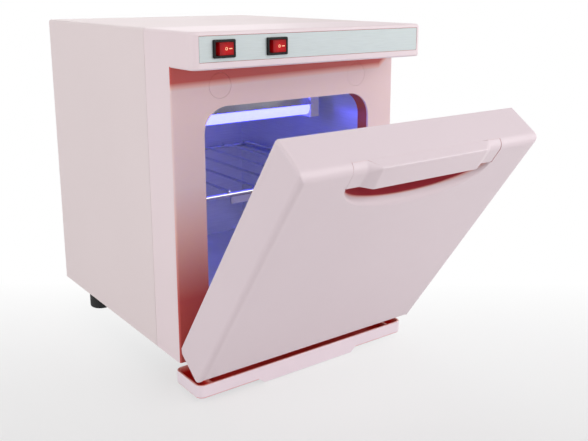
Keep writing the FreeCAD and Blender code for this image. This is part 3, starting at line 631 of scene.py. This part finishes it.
def trough_shaded_plastic(name, base, edge, deep, rough):
    """Tray plastic: pale outside, a salmon painted shade at the rim and a deeper red painted shade down in the
    trough.
    A point is in the trough where it lies within the rounded outline drawn in from the tray's edge."""
    made = Finish(name, base, rough)
    x, y, z = made.axes()
    middle_y = frame_face_y + (tray_front + tray_back) / 2 * MM
    half_y = (tray_back - tray_front) / 2
    side = made.math("ABSOLUTE", x)
    ahead = made.math("ABSOLUTE", made.math("SUBTRACT", y, middle_y))
    past_corner = {}
    for key, value, half in (("X", side, tray_half), ("Y", ahead, half_y)):
        past = made.math("SUBTRACT", value, (half - tray_corner) * MM)
        past_corner[key] = made.math("MAXIMUM", past, 0.0)
    out = made.length(made.node("ShaderNodeCombineXYZ", past_corner).outputs["Vector"])
    inside_outline = made.math("LESS_THAN", out, (tray_corner - tray_wall + trough_room) * MM)
    inside_z = made.math("GREATER_THAN", z, (tray_low + tray_wall / 2) * MM)
    inside = made.math("MULTIPLY", inside_outline, inside_z)
    # Painted shade: red low in the trough, turning salmon at the rim
    up_the_wall = made.spread(z, 0.0, 1.0, *((tray_rim - drop) * MM for drop in trough_shade_fade))
    painted_shade_colour = made.blend(up_the_wall, deep, edge)
    made.shade({"Base Color": made.blend(inside, made.vary(7.0, 0.012), painted_shade_colour)})
    spark_grain(made)
    return made.material


def painted(name, base, rough):
    """Baked paint on sheet: a low orange peel and a slow drift of colour."""
    made = Finish(name, base, rough)
    made.shade({"Base Color": made.vary(5.0, 0.012)})
    made.rough_noise(40.0, 0.03)
    made.bump(made.noise(420.0, 1.0), 0.06, 0.0003)
    return made.material


def metal(name, base, rough, stretch, grain, depth, bare=1.0):
    """Metal with a drawn or rolled grain along one axis, bare or under a thin dull coat."""
    made = Finish(name, base, rough, bare)
    place = made.mapped(Scale=stretch)
    made.shade({"Base Color": made.vary(grain, 0.06, 3.0, place)})
    made.rough_noise(grain, 0.06, place)
    made.bump(made.noise(grain, 3.0, place), depth, 0.0001)
    return made.material


def spangled(name, base, rough):
    """Zinc-coated steel: flat crystal patches of slightly different grey."""
    made = Finish(name, base, rough, 1.0)
    cells = made.node("ShaderNodeTexVoronoi", {"Vector": made.place, "Scale": 120.0})
    separate = made.node("ShaderNodeSeparateColor", {"Color": cells.outputs["Color"]})
    low = tuple(c * 0.86 for c in base[:3]) + (1.0,)
    patchy = made.spread(separate.outputs["Green"], rough - 0.07, rough + 0.07)
    made.shade({"Base Color": made.blend(separate.outputs["Red"], low, base), "Roughness": patchy})
    made.bump(made.noise(300.0, 2.0), 0.04, 0.0002)
    return made.material


def dull(name, base, rough, scale, depth, share=0.08, gloss=0.5):
    """Matt material with an even grain: rubber, wool, foam or dark plastic."""
    made = Finish(name, base, rough)
    made.shade({"Specular IOR Level": gloss, "Base Color": made.vary(scale, share)})
    made.bump(made.noise(scale * 2, 4.0), depth, 0.0005)
    return made.material


def glowing(name, base, rough, light, strength, middle=None, reach=(1.0, 1.0, 1.0)):
    """Tinted lens lit from behind, its glow a little uneven. With a middle, the glow is strongest there
    and falls off with the distance, measured in the reach along each axis."""
    made = Finish(name, base, rough)
    made.shade({"Base Color": made.vary(160.0, 0.10), "Specular IOR Level": 0.12,
                "Emission Color": light, "Emission Strength": strength})
    if middle is not None:
        away = made.length(made.mapped("TEXTURE", Location=middle, Scale=reach))
        dim = tuple(c * 0.12 for c in light[:3]) + (1.0,)
        made.shade({"Emission Color": made.blend(made.spread(away, 1.0, 0.0), dim, light)})
    made.bump(made.noise(900.0, 1.0), 0.05, 0.0001)
    return made.material


pale_pink = colour(240, 222, 226)
# Door plastic: the same pink as the housing, painted darker as a shaded copy for the door's face
door_shaded_pink = colour(229, 212, 218)
# Painted shade colours of the pink plastics: half shade, deep shade, the finger pocket's shade and the lip's shade
half_shade_rose = colour(238, 184, 174)
deep_shade_rose = colour(202, 82, 76)
pocket_shade_rose = colour(190, 66, 78)
lip_shade_brown = colour(196, 88, 50)
tray_pink = colour(246, 230, 238)
# Painted shade of the tray: salmon at the rim, red down in the trough
rim_shade_salmon = colour(250, 184, 174)
trough_shade_red = colour(232, 54, 46)
# Housing plastic, with painted shade in hollows, in the lip, behind the door and under the overhang
housing_pink = moulded("housing pink plastic", pale_pink, half_shade_rose, deep_shade_rose, 0.46, 0.09,
                       (0.60, 0.66, 0.72), frame_painted_shade, lip_shade_brown)
finishes = {
    # Door plastic, with painted shade in hollows and deeper in the finger pocket
    "pink_plastic": moulded("moulded pink plastic", door_shaded_pink, half_shade_rose, pocket_shade_rose, 0.36, 0.03,
                            (0.46, 0.58, 0.72), door_painted_shade),
    "pink_paint": painted("baked pink paint", colour(236, 221, 222), 0.55),
    # Tray plastic, with painted shade in the trough
    "tray_plastic": trough_shaded_plastic("tray pink plastic", tray_pink, rim_shade_salmon, trough_shade_red, 0.36),
    "zinc_steel": spangled("zinc-coated steel", colour(196, 198, 200), 0.38),
    "liner_metal": metal("chamber metal", colour(222, 224, 230), 0.5, (1, 1, 30), 40.0, 0.05, 0.6),
    "strip_grey": metal("brushed grey strip", colour(198, 206, 206), 0.5, (1, 40, 40), 60.0, 0.04, 0.2),
    "black_plastic": dull("black switch plastic", colour(11, 11, 12), 0.5, 700.0, 0.04, 0.08, 0.25),
    "rocker_red": glowing("red lens", colour(176, 12, 20), 0.22, colour(255, 20, 16), 0.1),
    "rack_wire": metal("bright rack wire", colour(222, 224, 228), 0.18, (1, 8, 1), 90.0, 0.03),
    "reflector_metal": metal("reflector metal", colour(232, 233, 236), 0.2, (30, 1, 1), 50.0, 0.03),
    "lamp_glass": glowing("lamp glass", colour(150, 150, 255), 0.1, colour(72, 74, 255), 9.5),
    "holder_white": dull("lamp holder plastic", colour(226, 224, 216), 0.4, 500.0, 0.04, 0.02),
    "wool": dull("mineral wool", colour(206, 196, 150), 0.95, 260.0, 0.5, 0.15),
    "foam": dull("door foam", colour(226, 214, 180), 0.95, 420.0, 0.35, 0.08),
    "heater_metal": metal("spreader plate", colour(190, 190, 192), 0.4, (30, 1, 1), 40.0, 0.04),
    "element_foil": metal("heating strip foil", colour(205, 178, 140), 0.3, (1, 1, 1), 200.0, 0.08),
    "magnet": dull("ferrite", colour(42, 42, 44), 0.6, 500.0, 0.1),
    "iron": metal("laminated iron", colour(96, 96, 100), 0.45, (60, 1, 1), 30.0, 0.2),
    "rubber": dull("black rubber", colour(26, 26, 27), 0.78, 500.0, 0.15),
    "seal": dull("grey seal", colour(176, 172, 172), 0.62, 500.0, 0.10, 0.04),
}
mark_light = glowing("switch mark", colour(255, 206, 168), 0.3, colour(255, 180, 120), 0.35)
screw_steel = metal("plated screw", colour(188, 188, 186), 0.3, (1, 1, 1), 500.0, 0.05)

slot_of_node = {entry["node"]: entry["material_slot"] for entry in frame["record"]["subparts"]}


def arch(inset):
    """Outline over the sides and top, drawn in by the inset: two legs with a quarter circle at each fold."""
    turn = quarter(7)
    x = half_width - inset
    top = cabinet_top - inset
    radius = fold_radius - inset
    fold_x = x - radius + radius * np.cos(turn)
    fold_z = top - radius + radius * np.sin(turn)
    across = np.concatenate([[x], fold_x, -fold_x[::-1], [-x]])
    high = np.concatenate([[underside], fold_z, fold_z[::-1], [underside]])
    return across, high


def folded_sheet(name, inset, thickness, start, end):
    """Folded sheet over the sides and top: the outline given a thickness and carried from front to rear."""
    outer = arch(inset)
    inner = arch(inset + thickness)
    x = np.concatenate([outer[0], inner[0][::-1]])
    z = np.concatenate([outer[1], inner[1][::-1]])
    return loft(name, [upright(x, column(start, end), z)])


def overhang_form():
    """Control housing: level sections with rounded front corners, drawn in along a quarter circle at
    the top edge and along a small bevel below."""
    turn = quarter(7)
    steps = np.concatenate([[overhang_bevel, 0.0], fold_radius * (1 - np.cos(turn))])
    top_edge = cabinet_top - fold_radius + fold_radius * np.sin(turn)
    levels = np.concatenate([[overhang_low, overhang_low + overhang_bevel], top_edge])
    inset = steps[:, None]
    corner = quarter(10)
    radius = overhang_corner
    x_arc = half_width - radius + (radius - inset) * np.cos(corner)
    y_arc = -overhang_reach + radius - (radius - inset) * np.sin(corner)
    side_x = half_width - inset
    side_x[:2] = half_width
    x = np.concatenate([side_x, x_arc, -x_arc[:, ::-1], -side_x], axis=1)
    rear = np.full_like(inset, housing_depth)
    y = np.concatenate([rear, y_arc, y_arc[:, ::-1], rear], axis=1)
    return loft("housing_front", [upright(x, y, levels[:, None])])


def frame_form():
    """Frame behind the door: level sections with rounded front corners from the underside to the overhang."""
    corner = quarter(8)
    x_arc = half_width - jamb_radius * (1 - np.cos(corner))
    y_arc = jamb_radius * (1 - np.sin(corner))
    x = np.concatenate([[half_width], x_arc, -x_arc[::-1], [-half_width]])
    y = np.concatenate([[housing_depth], y_arc, y_arc[::-1], [housing_depth]])
    return loft("frame", [upright(x, y, column(underside, overhang_low + overhang_join))])


def opening_rings(grow, depths, steps=14):
    """The opening's rounded outline, grown all round, at each depth."""
    half_z = (opening_high - opening_low) / 2
    middle = (opening_high + opening_low) / 2
    x, z = rounded_outline(opening_x + grow, half_z + grow, opening_radius + grow, middle, steps)
    return upright(x, column(*depths), z)


def housing_hollow():
    """Room inside the housing: a block behind the frame joined with one in the overhang, with the lip's
    tube left standing in it."""
    across = about(0.0, half_width - housing_wall)
    ceiling = cabinet_top - housing_wall
    inside = block(across, (housing_wall, housing_depth + overrun), (underside + housing_wall, ceiling),
                   hollow_corner)
    over = block(across, (housing_wall - overhang_reach, housing_depth),
                 (overhang_low + housing_wall, ceiling), hollow_corner)
    hollow = combine(loft("inside", [inside]), [loft("over", [over])], "UNION")
    lip_tube = loft("lip_tube", [opening_rings(lip_wall, (-overrun, lip_depth))])
    return combine(hollow, [lip_tube], "DIFFERENCE")


def front_housing():
    """Frame and overhang joined, hollowed behind, with the opening, the strip's recess, the switch
    holes, the catch holes and the hinge slots cut out, and a tongue added along the seam."""
    housing = combine(overhang_form(), [frame_form()], "UNION")
    cutters = [housing_hollow()]
    cutters.append(loft("way_in", [opening_rings(0.0, (-overrun, housing_depth + overrun))]))
    recess = block(about(0.0, strip_half + strip_gap), (-overhang_reach - overrun, strip_floor),
                   (strip_z - strip_half_height - strip_gap, strip_z + strip_half_height + strip_top_gap),
                   strip_corner)
    cutters.append(loft("strip_recess", [recess]))
    for side in (-1, 1):
        hole = turned_profile((side * cap_x, 0, cap_z), (cap_radius + cap_gap,) * 2,
                              (-overrun, cap_hole_depth), round_steps, 1)
        slot = block(about(side * hinge_x, slot_half), (-overrun, slot_depth),
                     about(axis_z, slot_half_height))
        cutters.append(loft("catch_hole", [hole]))
        cutters.append(loft("hinge_slot", [slot]))
    for x in switch_places.values():
        hole = block(about(x, switch_hole_half), (-overhang_reach - overrun, switch_hole_rear),
                     about(strip_z, switch_hole_half_height))
        cutters.append(loft("switch_hole", [hole]))
    housing = combine(housing, cutters, "DIFFERENCE")
    tongue = folded_sheet("seam_tongue", tongue_inset, tongue_wall, housing_depth - tongue_root,
                          housing_depth + tongue_length)
    return combine(housing, [tongue], "UNION")


def chamber_skin():
    """Liner: the opening's outline carried back and closed behind, as a wall with a flange in front."""
    inner = opening_rings(0.0, (lip_depth, liner_back - sheet))
    outer = opening_rings(sheet, (liner_back, lip_depth + sheet))
    flange = opening_rings(liner_flange, (lip_depth + sheet, lip_depth))
    rows = np.concatenate([outer, flange, inner])
    return loft("chamber_walls", [rows])


def pan_form():
    """Door's outside: outlines drawn in along quarter circles of their own radius at the sides, top and
    bottom, from the heel at the rear to the flat face."""
    turn = np.concatenate([[0.0, 0.0], quarter(12)])[:, None]
    draw = 1 - np.cos(turn)
    low = door_low + door_bottom_round * draw
    low[0] += door_heel
    high = door_top - door_top_round * draw
    steps = 8
    x, z = rounded_outline(half_width - door_side_round * draw, (high - low) / 2,
                           door_least_corner + door_corner * np.cos(turn), (high + low) / 2, steps)
    angle = (np.arange(4)[:, None] * math.pi / 2 + quarter(steps + 1)).ravel()
    ends = np.where(np.sin(angle) > 0, door_top_round, door_bottom_round)
    reach = door_side_round * np.cos(angle) ** 2 + ends * np.sin(angle) ** 2
    y = door_face + reach * (1 - np.sin(turn))
    y[0] = door_rear
    y[1] = door_rear - door_heel
    return loft("door_pan", [upright(x, y, z)], in_door)


def finger_scoop():
    """Scoop under the handle: half ellipses that narrow over the lip by a power of the depth, go straight
    in and close along a quarter circle at the floor."""
    bend = quarter(6)
    share = np.linspace(0, 1, 10)
    flare = np.concatenate([[1.0], 1 - share, np.zeros(6)])
    shrink = np.concatenate([[0.0], np.zeros(10), recess_floor_round * (1 - np.cos(bend))])
    lip = door_face + recess_lip_depth * share ** recess_lip_power
    floor = recess_floor - recess_floor_round + recess_floor_round * np.sin(bend)
    depth = np.concatenate([[door_face - scoop_overrun], lip, floor])
    phi = np.linspace(0, math.pi, 49)
    half = (recess_half + recess_lip_side * flare - shrink)[:, None]
    drop = (recess_drop + recess_lip_drop * flare - shrink)[:, None]
    bowl_x = half * np.cos(phi)
    bowl_z = handle_low - drop * np.sin(phi)
    roof = np.full_like(half, handle_low + recess_roof)
    x = np.concatenate([bowl_x, -half, half], axis=1)
    z = np.concatenate([bowl_z, roof, roof], axis=1)
    return loft("scoop", [upright(x, depth[:, None], z)], in_door)


def door_pan():
    """Door: its outside with the finger scoop, the room behind the handle, the handle's seat, the inner
    panel's room and the hinge slots cut out."""
    room = block(about(0.0, recess_half - room_gap),
                 (door_face - room_overrun, recess_floor - room_floor_gap),
                 (handle_low - room_drop, door_top - room_roof_wall), room_corner)
    seat = block(about(0.0, handle_half + handle_gap),
                 (door_face - seat_overrun, handle_back + handle_back_gap),
                 (handle_low, door_top + scoop_overrun), seat_corner)
    panel_room = block(about(0.0, panel_half), (panel_front, overrun),
                       (door_low + panel_edge, door_top - panel_edge), panel_corner)
    tools = [finger_scoop(), loft("room", [room], in_door), loft("seat", [seat], in_door),
             loft("panel_room", [panel_room], in_door)]
    for side in (-1, 1):
        tools += hinge_slots(side * hinge_x)
    return combine(pan_form(), tools, "DIFFERENCE")


def hinge_slots(x):
    """Room for a hinge ear: a wedge that the ear sweeps from shut to open, and a square about the axis."""
    sine = math.sin(door_angle)
    cosine = math.cos(door_angle)
    high = slot_half_height
    reach = slot_sweep
    y = axis_y + np.array([0.0, reach, reach, reach * cosine - high * sine, -high * sine])
    z = axis_z + np.array([high, high, -reach, -reach * sine - high * cosine, -high * cosine])
    wedge = upright(column(*about(x, slot_half)), y, z)
    eye = block(about(x, slot_half), about(axis_y, eye_half), about(axis_z, eye_half))
    return [loft("hinge_wedge", [wedge], in_door), loft("hinge_eye", [eye], in_door)]


def handle_grip():
    """Grip insert: a plate in the line of the door's face, with a bar that stands proud of it, furthest at
    its lower edge, its ends sloped and its long edges rounded. Rows run along the handle, each a section
    of the bar."""
    slope_start = -grip_half - grip_slope
    x = np.array([-handle_half, -handle_half + 0.5, slope_start - 1.2, slope_start, slope_start + 1.2,
                  -grip_half - 1.0, -grip_half, -grip_half + 1.2, 0.0])
    proud = np.array([-0.35, 0.0, 0.0, 0.12, 0.6, 4.0, 4.38, grip_proud, grip_proud])
    x = np.concatenate([x, -x[-2::-1]])[:, None]
    proud = np.concatenate([proud, proud[-2::-1]])[:, None]
    share = np.clip(proud / grip_proud, 0, 1)
    turn = quarter(9)
    low = handle_low + handle_gap
    crown = door_top_round - grip_crown_loss * share
    top_y = door_face - proud * grip_upper_share + crown * (1 - np.sin(turn[::-1]))
    top_z = door_top - crown * (1 - np.cos(turn[::-1]))
    foot = handle_foot_round + grip_foot_gain * share
    foot_y = door_face - proud * grip_lower_share + foot * (1 - np.sin(turn))
    foot_z = low + foot * (1 - np.cos(turn))
    back = np.full_like(proud, handle_back)
    y = np.concatenate([back, foot_y, top_y, back], axis=1)
    z = np.concatenate([np.full_like(proud, low), foot_z, top_z, np.full_like(proud, door_top)], axis=1)
    legs = [block(about(middle, handle_leg_half), (handle_leg_front, recess_floor), handle_leg_levels,
                  handle_leg_corner) for middle in (-handle_leg_x, handle_leg_x)]
    return loft("handle_grip", [upright(x, y, z)] + legs, in_door)


def drip_tray():
    """Trough: rounded outlines that step out from the bevelled underside, over the rim and down inside,
    with end ribs, a pull lip under the front edge and two tongues behind."""
    half_y = (tray_back - tray_front) / 2
    middle = (tray_back + tray_front) / 2
    floor = tray_low + tray_wall
    rim_in = np.array([0.0, 0.35, 0.9])
    rim_down = np.array([0.9, 0.25, 0.0])
    inset = column(2.2, 0.9, 0.0, *rim_in, *(tray_wall - rim_in[::-1]), tray_wall + 0.4, tray_wall + 2.2)
    level = column(tray_low, tray_low + 0.8, tray_low + 2.4, *(tray_rim - rim_down),
                   *(tray_rim - rim_down[::-1]), floor + 1.6, floor)
    corner = tray_corner - np.minimum(inset, 3.0)
    x, y = rounded_outline(tray_half - inset, half_y - inset, corner, middle, 8)
    tray = loft("drip_trough", [upright(x, y, level)])
    let_in = tray_wall / 2
    rib_levels = (tray_low + let_in, tray_rim - tray_rib_drop)
    rib_depths = (tray_front + let_in, tray_back - let_in)
    ribs = [block(about(x, tray_rib_half), rib_depths, rib_levels, tray_rib_corner)
            for x in (-tray_rib_x, tray_rib_x)]
    sides = [about(x, tray_arm_half) for x in (-tray_arm_x, tray_arm_x)]
    root = tray_back - tray_wall
    arms = [block(side, (root, tray_arm_end), tray_arm_levels, tray_arm_corner) for side in sides]
    risers = [block(side, (root, tray_back), (tray_rim - tray_wall, tray_arm_levels[1])) for side in sides]
    pull_x = column(-pull_half, -pull_straight_half, pull_straight_half, pull_half)
    low = column(pull_end_low, pull_low, pull_low, pull_end_low)
    y = tray_front + np.array([0.0, pull_wall, pull_wall, 0.0])
    z = np.concatenate([low, low, np.full((4, 2), pull_high)], axis=1)
    pull = upright(pull_x, y, z)
    extras = [loft("tray_extra", [grid]) for grid in ribs + arms + risers + [pull]]
    return combine(tray, extras, "UNION")


def feet_turned():
    """Feet: a turned profile with a narrow neck and a rounded tread."""
    return loft("rubber_feet", [turned_profile((x, y, 0), foot_radii, foot_levels) for x, y in foot_places])


def rack_shelf():
    """Shelf: two cross bars, seven wires over them and a flat strip under the front bar."""
    half = opening_x - rack_side_gap
    front, rear = rack_bar_places
    grids = [tube((-half, y, rack_bar_z), (half, y, rack_bar_z), rack_bar_radius) for y in rack_bar_places]
    wire_z = rack_bar_z + rack_bar_radius + rack_wire_radius
    for x in np.linspace(-half + rack_wire_inset, half - rack_wire_inset, rack_wires):
        start = (x, front - rack_bar_radius, wire_z)
        grids.append(tube(start, (x, rear + rack_bar_radius, wire_z), rack_wire_radius, 12))
    grids.append(block(about(0.0, rack_strip_half), rack_strip_depths, rack_strip_levels, rack_strip_corner))
    return loft("rack_shelf", grids)


def switch_bezel(name, x):
    """Switch frame: rounded outlines over the bezel's edge and down into the rocker's pit, with the
    body behind."""
    inset = column(1.0, 1.0, 0.0, 0.0, 0.15, 0.6)
    depth = column(switch_rear, strip_face, strip_face, bezel_face + 0.6, bezel_face + 0.15, bezel_face)
    across, high = rounded_outline(bezel_half - inset, bezel_half_height - inset, bezel_corner, strip_z, 4)
    body = upright(across + x, depth, high)
    pit = block(about(x, pit_half), (bezel_face - overrun, pit_floor), about(strip_z, pit_half_height),
                pit_corner, 4)
    return combine(loft(name, [body]), [loft("pit", [pit])], "DIFFERENCE")


def rocker_points(x, across, high, rise):
    """Points of a rocker's own frame, tipped about its upright pivot to the pressed side."""
    turned_x = x + across * math.cos(rocker_tilt) - rise * math.sin(rocker_tilt)
    turned_y = rocker_pivot_y + across * math.sin(rocker_tilt) + rise * math.cos(rocker_tilt)
    return upright(turned_x, turned_y, strip_z + high)


def rocker_face(across):
    """Depth of the rocker's face ahead of its pivot: two flat halves that rise to the ends from a low
    middle."""
    ridge = rocker_rise / math.cos(rocker_tilt)
    return -(ridge + np.abs(across) * math.tan(rocker_tilt))


def rocker_lens(name, x):
    """Rocker: sections from end to end, each a rounded face over a tapered back."""
    share = np.linspace(-1, 1, 21)[:, None]
    across = share * rocker_half
    face = rocker_face(across)
    edge = rocker_edge
    high = rocker_half_height
    levels = np.array([-high + edge, -high + 0.1, -high, -high, high, high, high - 0.1, high - edge])
    depth = np.array([0.0, 0.12, edge, 1, 1, edge, 0.12, 0.0])
    rise = np.where(depth == 1, rocker_rear, face + depth)
    narrow = np.where(depth == 1, share * rocker_rear_half, across)
    return loft(name, [rocker_points(x, narrow, levels, rise)])


def rocker_marks(name, x):
    """Generic marks on a rocker, lying on its face: a ring by the middle and a bar beside it."""
    across = np.array([3.1, 5.9, 5.9, 3.1])
    high = np.array([-0.4, -0.4, 0.4, 0.4])
    bar = rocker_points(x, across, high, rocker_face(across) + column(mark_root, -mark_proud))
    turn = np.linspace(0, 2 * math.pi, 24, endpoint=False)
    radius = column(0.7, 0.7, 1.25, 1.25)
    level = column(mark_root, -mark_proud, -mark_proud, mark_root)
    across = 0.5 + radius * np.cos(turn)
    ring = rocker_points(x, across, radius * np.sin(turn), rocker_face(across) + level)
    return loft(name, [bar, np.concatenate([ring, ring[:1]])])


def cap_discs():
    """Flush catch caps: discs with a small rounded edge."""
    radii = (0.5, cap_radius - 0.25, cap_radius - 0.06, cap_radius, cap_radius)
    levels = (0.02, 0.02, 0.06, 0.25, housing_wall)
    centres = [(side * cap_x, 0, cap_z) for side in (-1, 1)]
    return loft("catch_caps", [turned_profile(centre, radii, levels, round_steps, 1) for centre in centres])


def screw_heads(name, places):
    """Pan-head screws facing the rear: a domed head with a cross slot, its rim against the sheet."""
    grids = [turned_profile((x, cabinet_depth, z), screw_radii, screw_levels, 20, 1) for x, z in places]
    cross = []
    for x, z in places:
        for half_x, half_z, floor in cross_slots:
            depths = (cabinet_depth + floor, cabinet_depth + cross_end)
            cross.append(loft("cross", [block(about(x, half_x), depths, about(z, half_z))]))
    return combine(loft(name, grids), cross, "DIFFERENCE")


def soft_seal():
    """Door seal: a half-round bead carried round the opening's outline."""
    bend = np.linspace(0, math.pi, 9)
    grow = seal_inset + seal_radius - seal_radius * np.cos(bend)
    depth = door_rear + seal_rise * np.sin(bend) ** 0.7
    rings = [opening_rings(g, (d,))[0] for g, d in zip(grow, depth)]
    rings += [rings[0]]
    return loft("door_seal_bead", [np.stack(rings)], in_door, capped=False)


# Finishes of the CAD nodes
for name, node in frame["nodes"].items():
    node.data.materials.clear()
    node.data.materials.append(finishes[slot_of_node[name]])

# Pieces that stand for nodes
wrapper = folded_sheet("wrapper_sheet", 0.0, sheet, seam_y, cabinet_depth)
dressed(wrapper, "cabinet", "pink_paint", ["outer_wrapper"], sheet_edge)
dressed(front_housing(), "cabinet", "pink_plastic", ["front_housing"], moulded_edge, housing_pink)
dressed(chamber_skin(), "cabinet", "liner_metal", ["chamber_liner"])
dressed(door_pan(), "door", "pink_plastic", ["door_shell"], moulded_edge)
dressed(handle_grip(), "door", "pink_plastic", ["door_handle"])
dressed(drip_tray(), "drip_tray", "tray_plastic", ["drip_tray"], tray_edge)
dressed(feet_turned(), "cabinet", "rubber", ["feet"])
dressed(rack_shelf(), "cabinet", "rack_wire", ["towel_rack"])
dressed(cap_discs(), "cabinet", "pink_plastic", ["magnet_caps"], finish=housing_pink)
dressed(soft_seal(), "door", "seal", ["door_seal"])
for name, x in switch_places.items():
    rocker = "rocker_" + name
    bezel = switch_bezel("switch_bezel_" + name, x)
    dressed(bezel, "cabinet", "black_plastic", ["rocker_frame_" + name], bezel_edge)
    lit_middle = in_cabinet([x + lit_right, bezel_face, strip_z - lit_drop])
    lens = glowing("lit red lens " + name, colour(128, 4, 12), 0.34, colour(255, 16, 24), 0.42, lit_middle,
                   tuple(reach * MM for reach in lit_reach))
    dressed(rocker_lens("rocker_lens_" + name, x), rocker, "rocker_red", [rocker], finish=lens)
    dressed(rocker_marks("rocker_marks_" + name, x), rocker, "rocker_red", finish=mark_light)

# Fasteners
screw_places = [(side * screw_x, z) for side in (-1, 1) for z in screw_rows]
screw_places += [(0.0, screw_rows[0]), (0.0, screw_rows[-1])]
dressed(screw_heads("rear_screws", screw_places), "cabinet", "zinc_steel", finish=screw_steel)


def background_rays(tree):
    """Socket that is 1 for a ray that shows the background: the camera's, a glossy one or one through
    glass."""
    rays = tree.nodes.new("ShaderNodeLightPath").outputs
    share = rays["Is Camera Ray"]
    for ray in ("Is Glossy Ray", "Is Transmission Ray"):
        share = add_node(tree, "ShaderNodeMath", {0: share, 1: rays[ray]}, operation="MAXIMUM").outputs[0]
    return share


def pale_ground():
    """Floor finish: pale grey near the camera, white further off, with the object's shadow. The white share
    rises along a level direction turned from Y, and with the distance from the object."""
    made = Finish("pale floor", (0.77, 0.77, 0.77, 1), 0.9)
    made.shade({"Specular IOR Level": 0.1})
    behind = made.axes(made.mapped(Rotation=(0, 0, math.radians(37))))[1]
    far = made.math("MAXIMUM", made.spread(behind, 0.15, 1.0, -0.40, 0.17),
                    made.spread(made.length(made.place), 0.0, 1.0, 0.45, 1.2))
    share = made.math("MULTIPLY", background_rays(made.tree), far)
    white = made.tree.nodes.new("ShaderNodeEmission").outputs[0]
    mixed = made.node("ShaderNodeMixShader", {0: share, 1: made.shader.outputs[0], 2: white})
    feed(made.tree.nodes["Material Output"], {"Surface": mixed.outputs[0]})
    return made.material


def aimed(made, place, look):
    """Puts a lamp or camera at a place, turned to look along a direction."""
    made.location = place
    made.rotation_mode = "QUATERNION"
    made.rotation_quaternion = look.to_track_quat("-Z", "Y")


def soft_lamp(name, place, aim, size, power):
    """Square studio lamp at a place, turned to an aim point."""
    light = bpy.data.lights.new(name, "AREA")
    light.size = size
    light.energy = power
    aimed(add_object(name, light), place, Vector(aim) - Vector(place))


# Floor
floor_reach = 6.0
floor_corners = [(-floor_reach, -floor_reach, 0), (floor_reach, -floor_reach, 0),
                 (floor_reach, floor_reach, 0), (-floor_reach, floor_reach, 0)]
floor_mesh = bpy.data.meshes.new("floor")
floor_mesh.from_pydata(floor_corners, [], [(0, 1, 2, 3)])
floor_mesh.materials.append(pale_ground())
floor = add_object("floor", floor_mesh)

# World: white to the camera, plain soft light to the object
world = bpy.data.worlds.new("studio")
bpy.context.scene.world = world
world.use_nodes = True
tree = world.node_tree
levels = {"Value": background_rays(tree), "To Min": 0.37, "To Max": 1.0}
strength = add_node(tree, "ShaderNodeMapRange", levels).outputs["Result"]
feed(tree.nodes["Background"], {"Color": (1, 1, 1, 1), "Strength": strength})

# Lamps: place and aim in metres, size in metres, power in watts
soft_lamp("key", (1.25, -1.4, 0.7), (0, 0, 0.2), 1.6, 14.5)
soft_lamp("fill", (-1.75, -0.05, 0.7), (0, 0, 0.15), 1.1, 10.5)
soft_lamp("over", (0.0, 0.0, 2.2), (0, 0, 0.2), 2.6, 5.5)
soft_lamp("brow", (0.35, -1.45, 1.6), (0, -0.1, 0.2), 1.8, 7.5)
soft_lamp("low", (0.1, -1.1, 0.05), (0, -0.1, 0.05), 0.6, 1.1)
soft_lamp("rear", (0.6, 1.7, 1.0), (0, 0, 0.15), 1.2, 5)

# Camera at the photograph's place
camera_data = bpy.data.cameras.new("camera")
camera = add_object("camera", camera_data)
yaw = math.radians(36.61)
pitch = math.radians(13.14)
look = Vector((math.sin(yaw) * math.cos(pitch), math.cos(yaw) * math.cos(pitch), -math.sin(pitch)))
aimed(camera, (-0.43669, -0.64987, 0.36483), look)
camera_data.sensor_width = 36.0
camera_data.lens = 48.65
camera_data.shift_x = -0.0106
camera_data.shift_y = -0.08
bpy.context.scene.camera = camera
bpy.context.scene.view_settings.view_transform = "Standard"
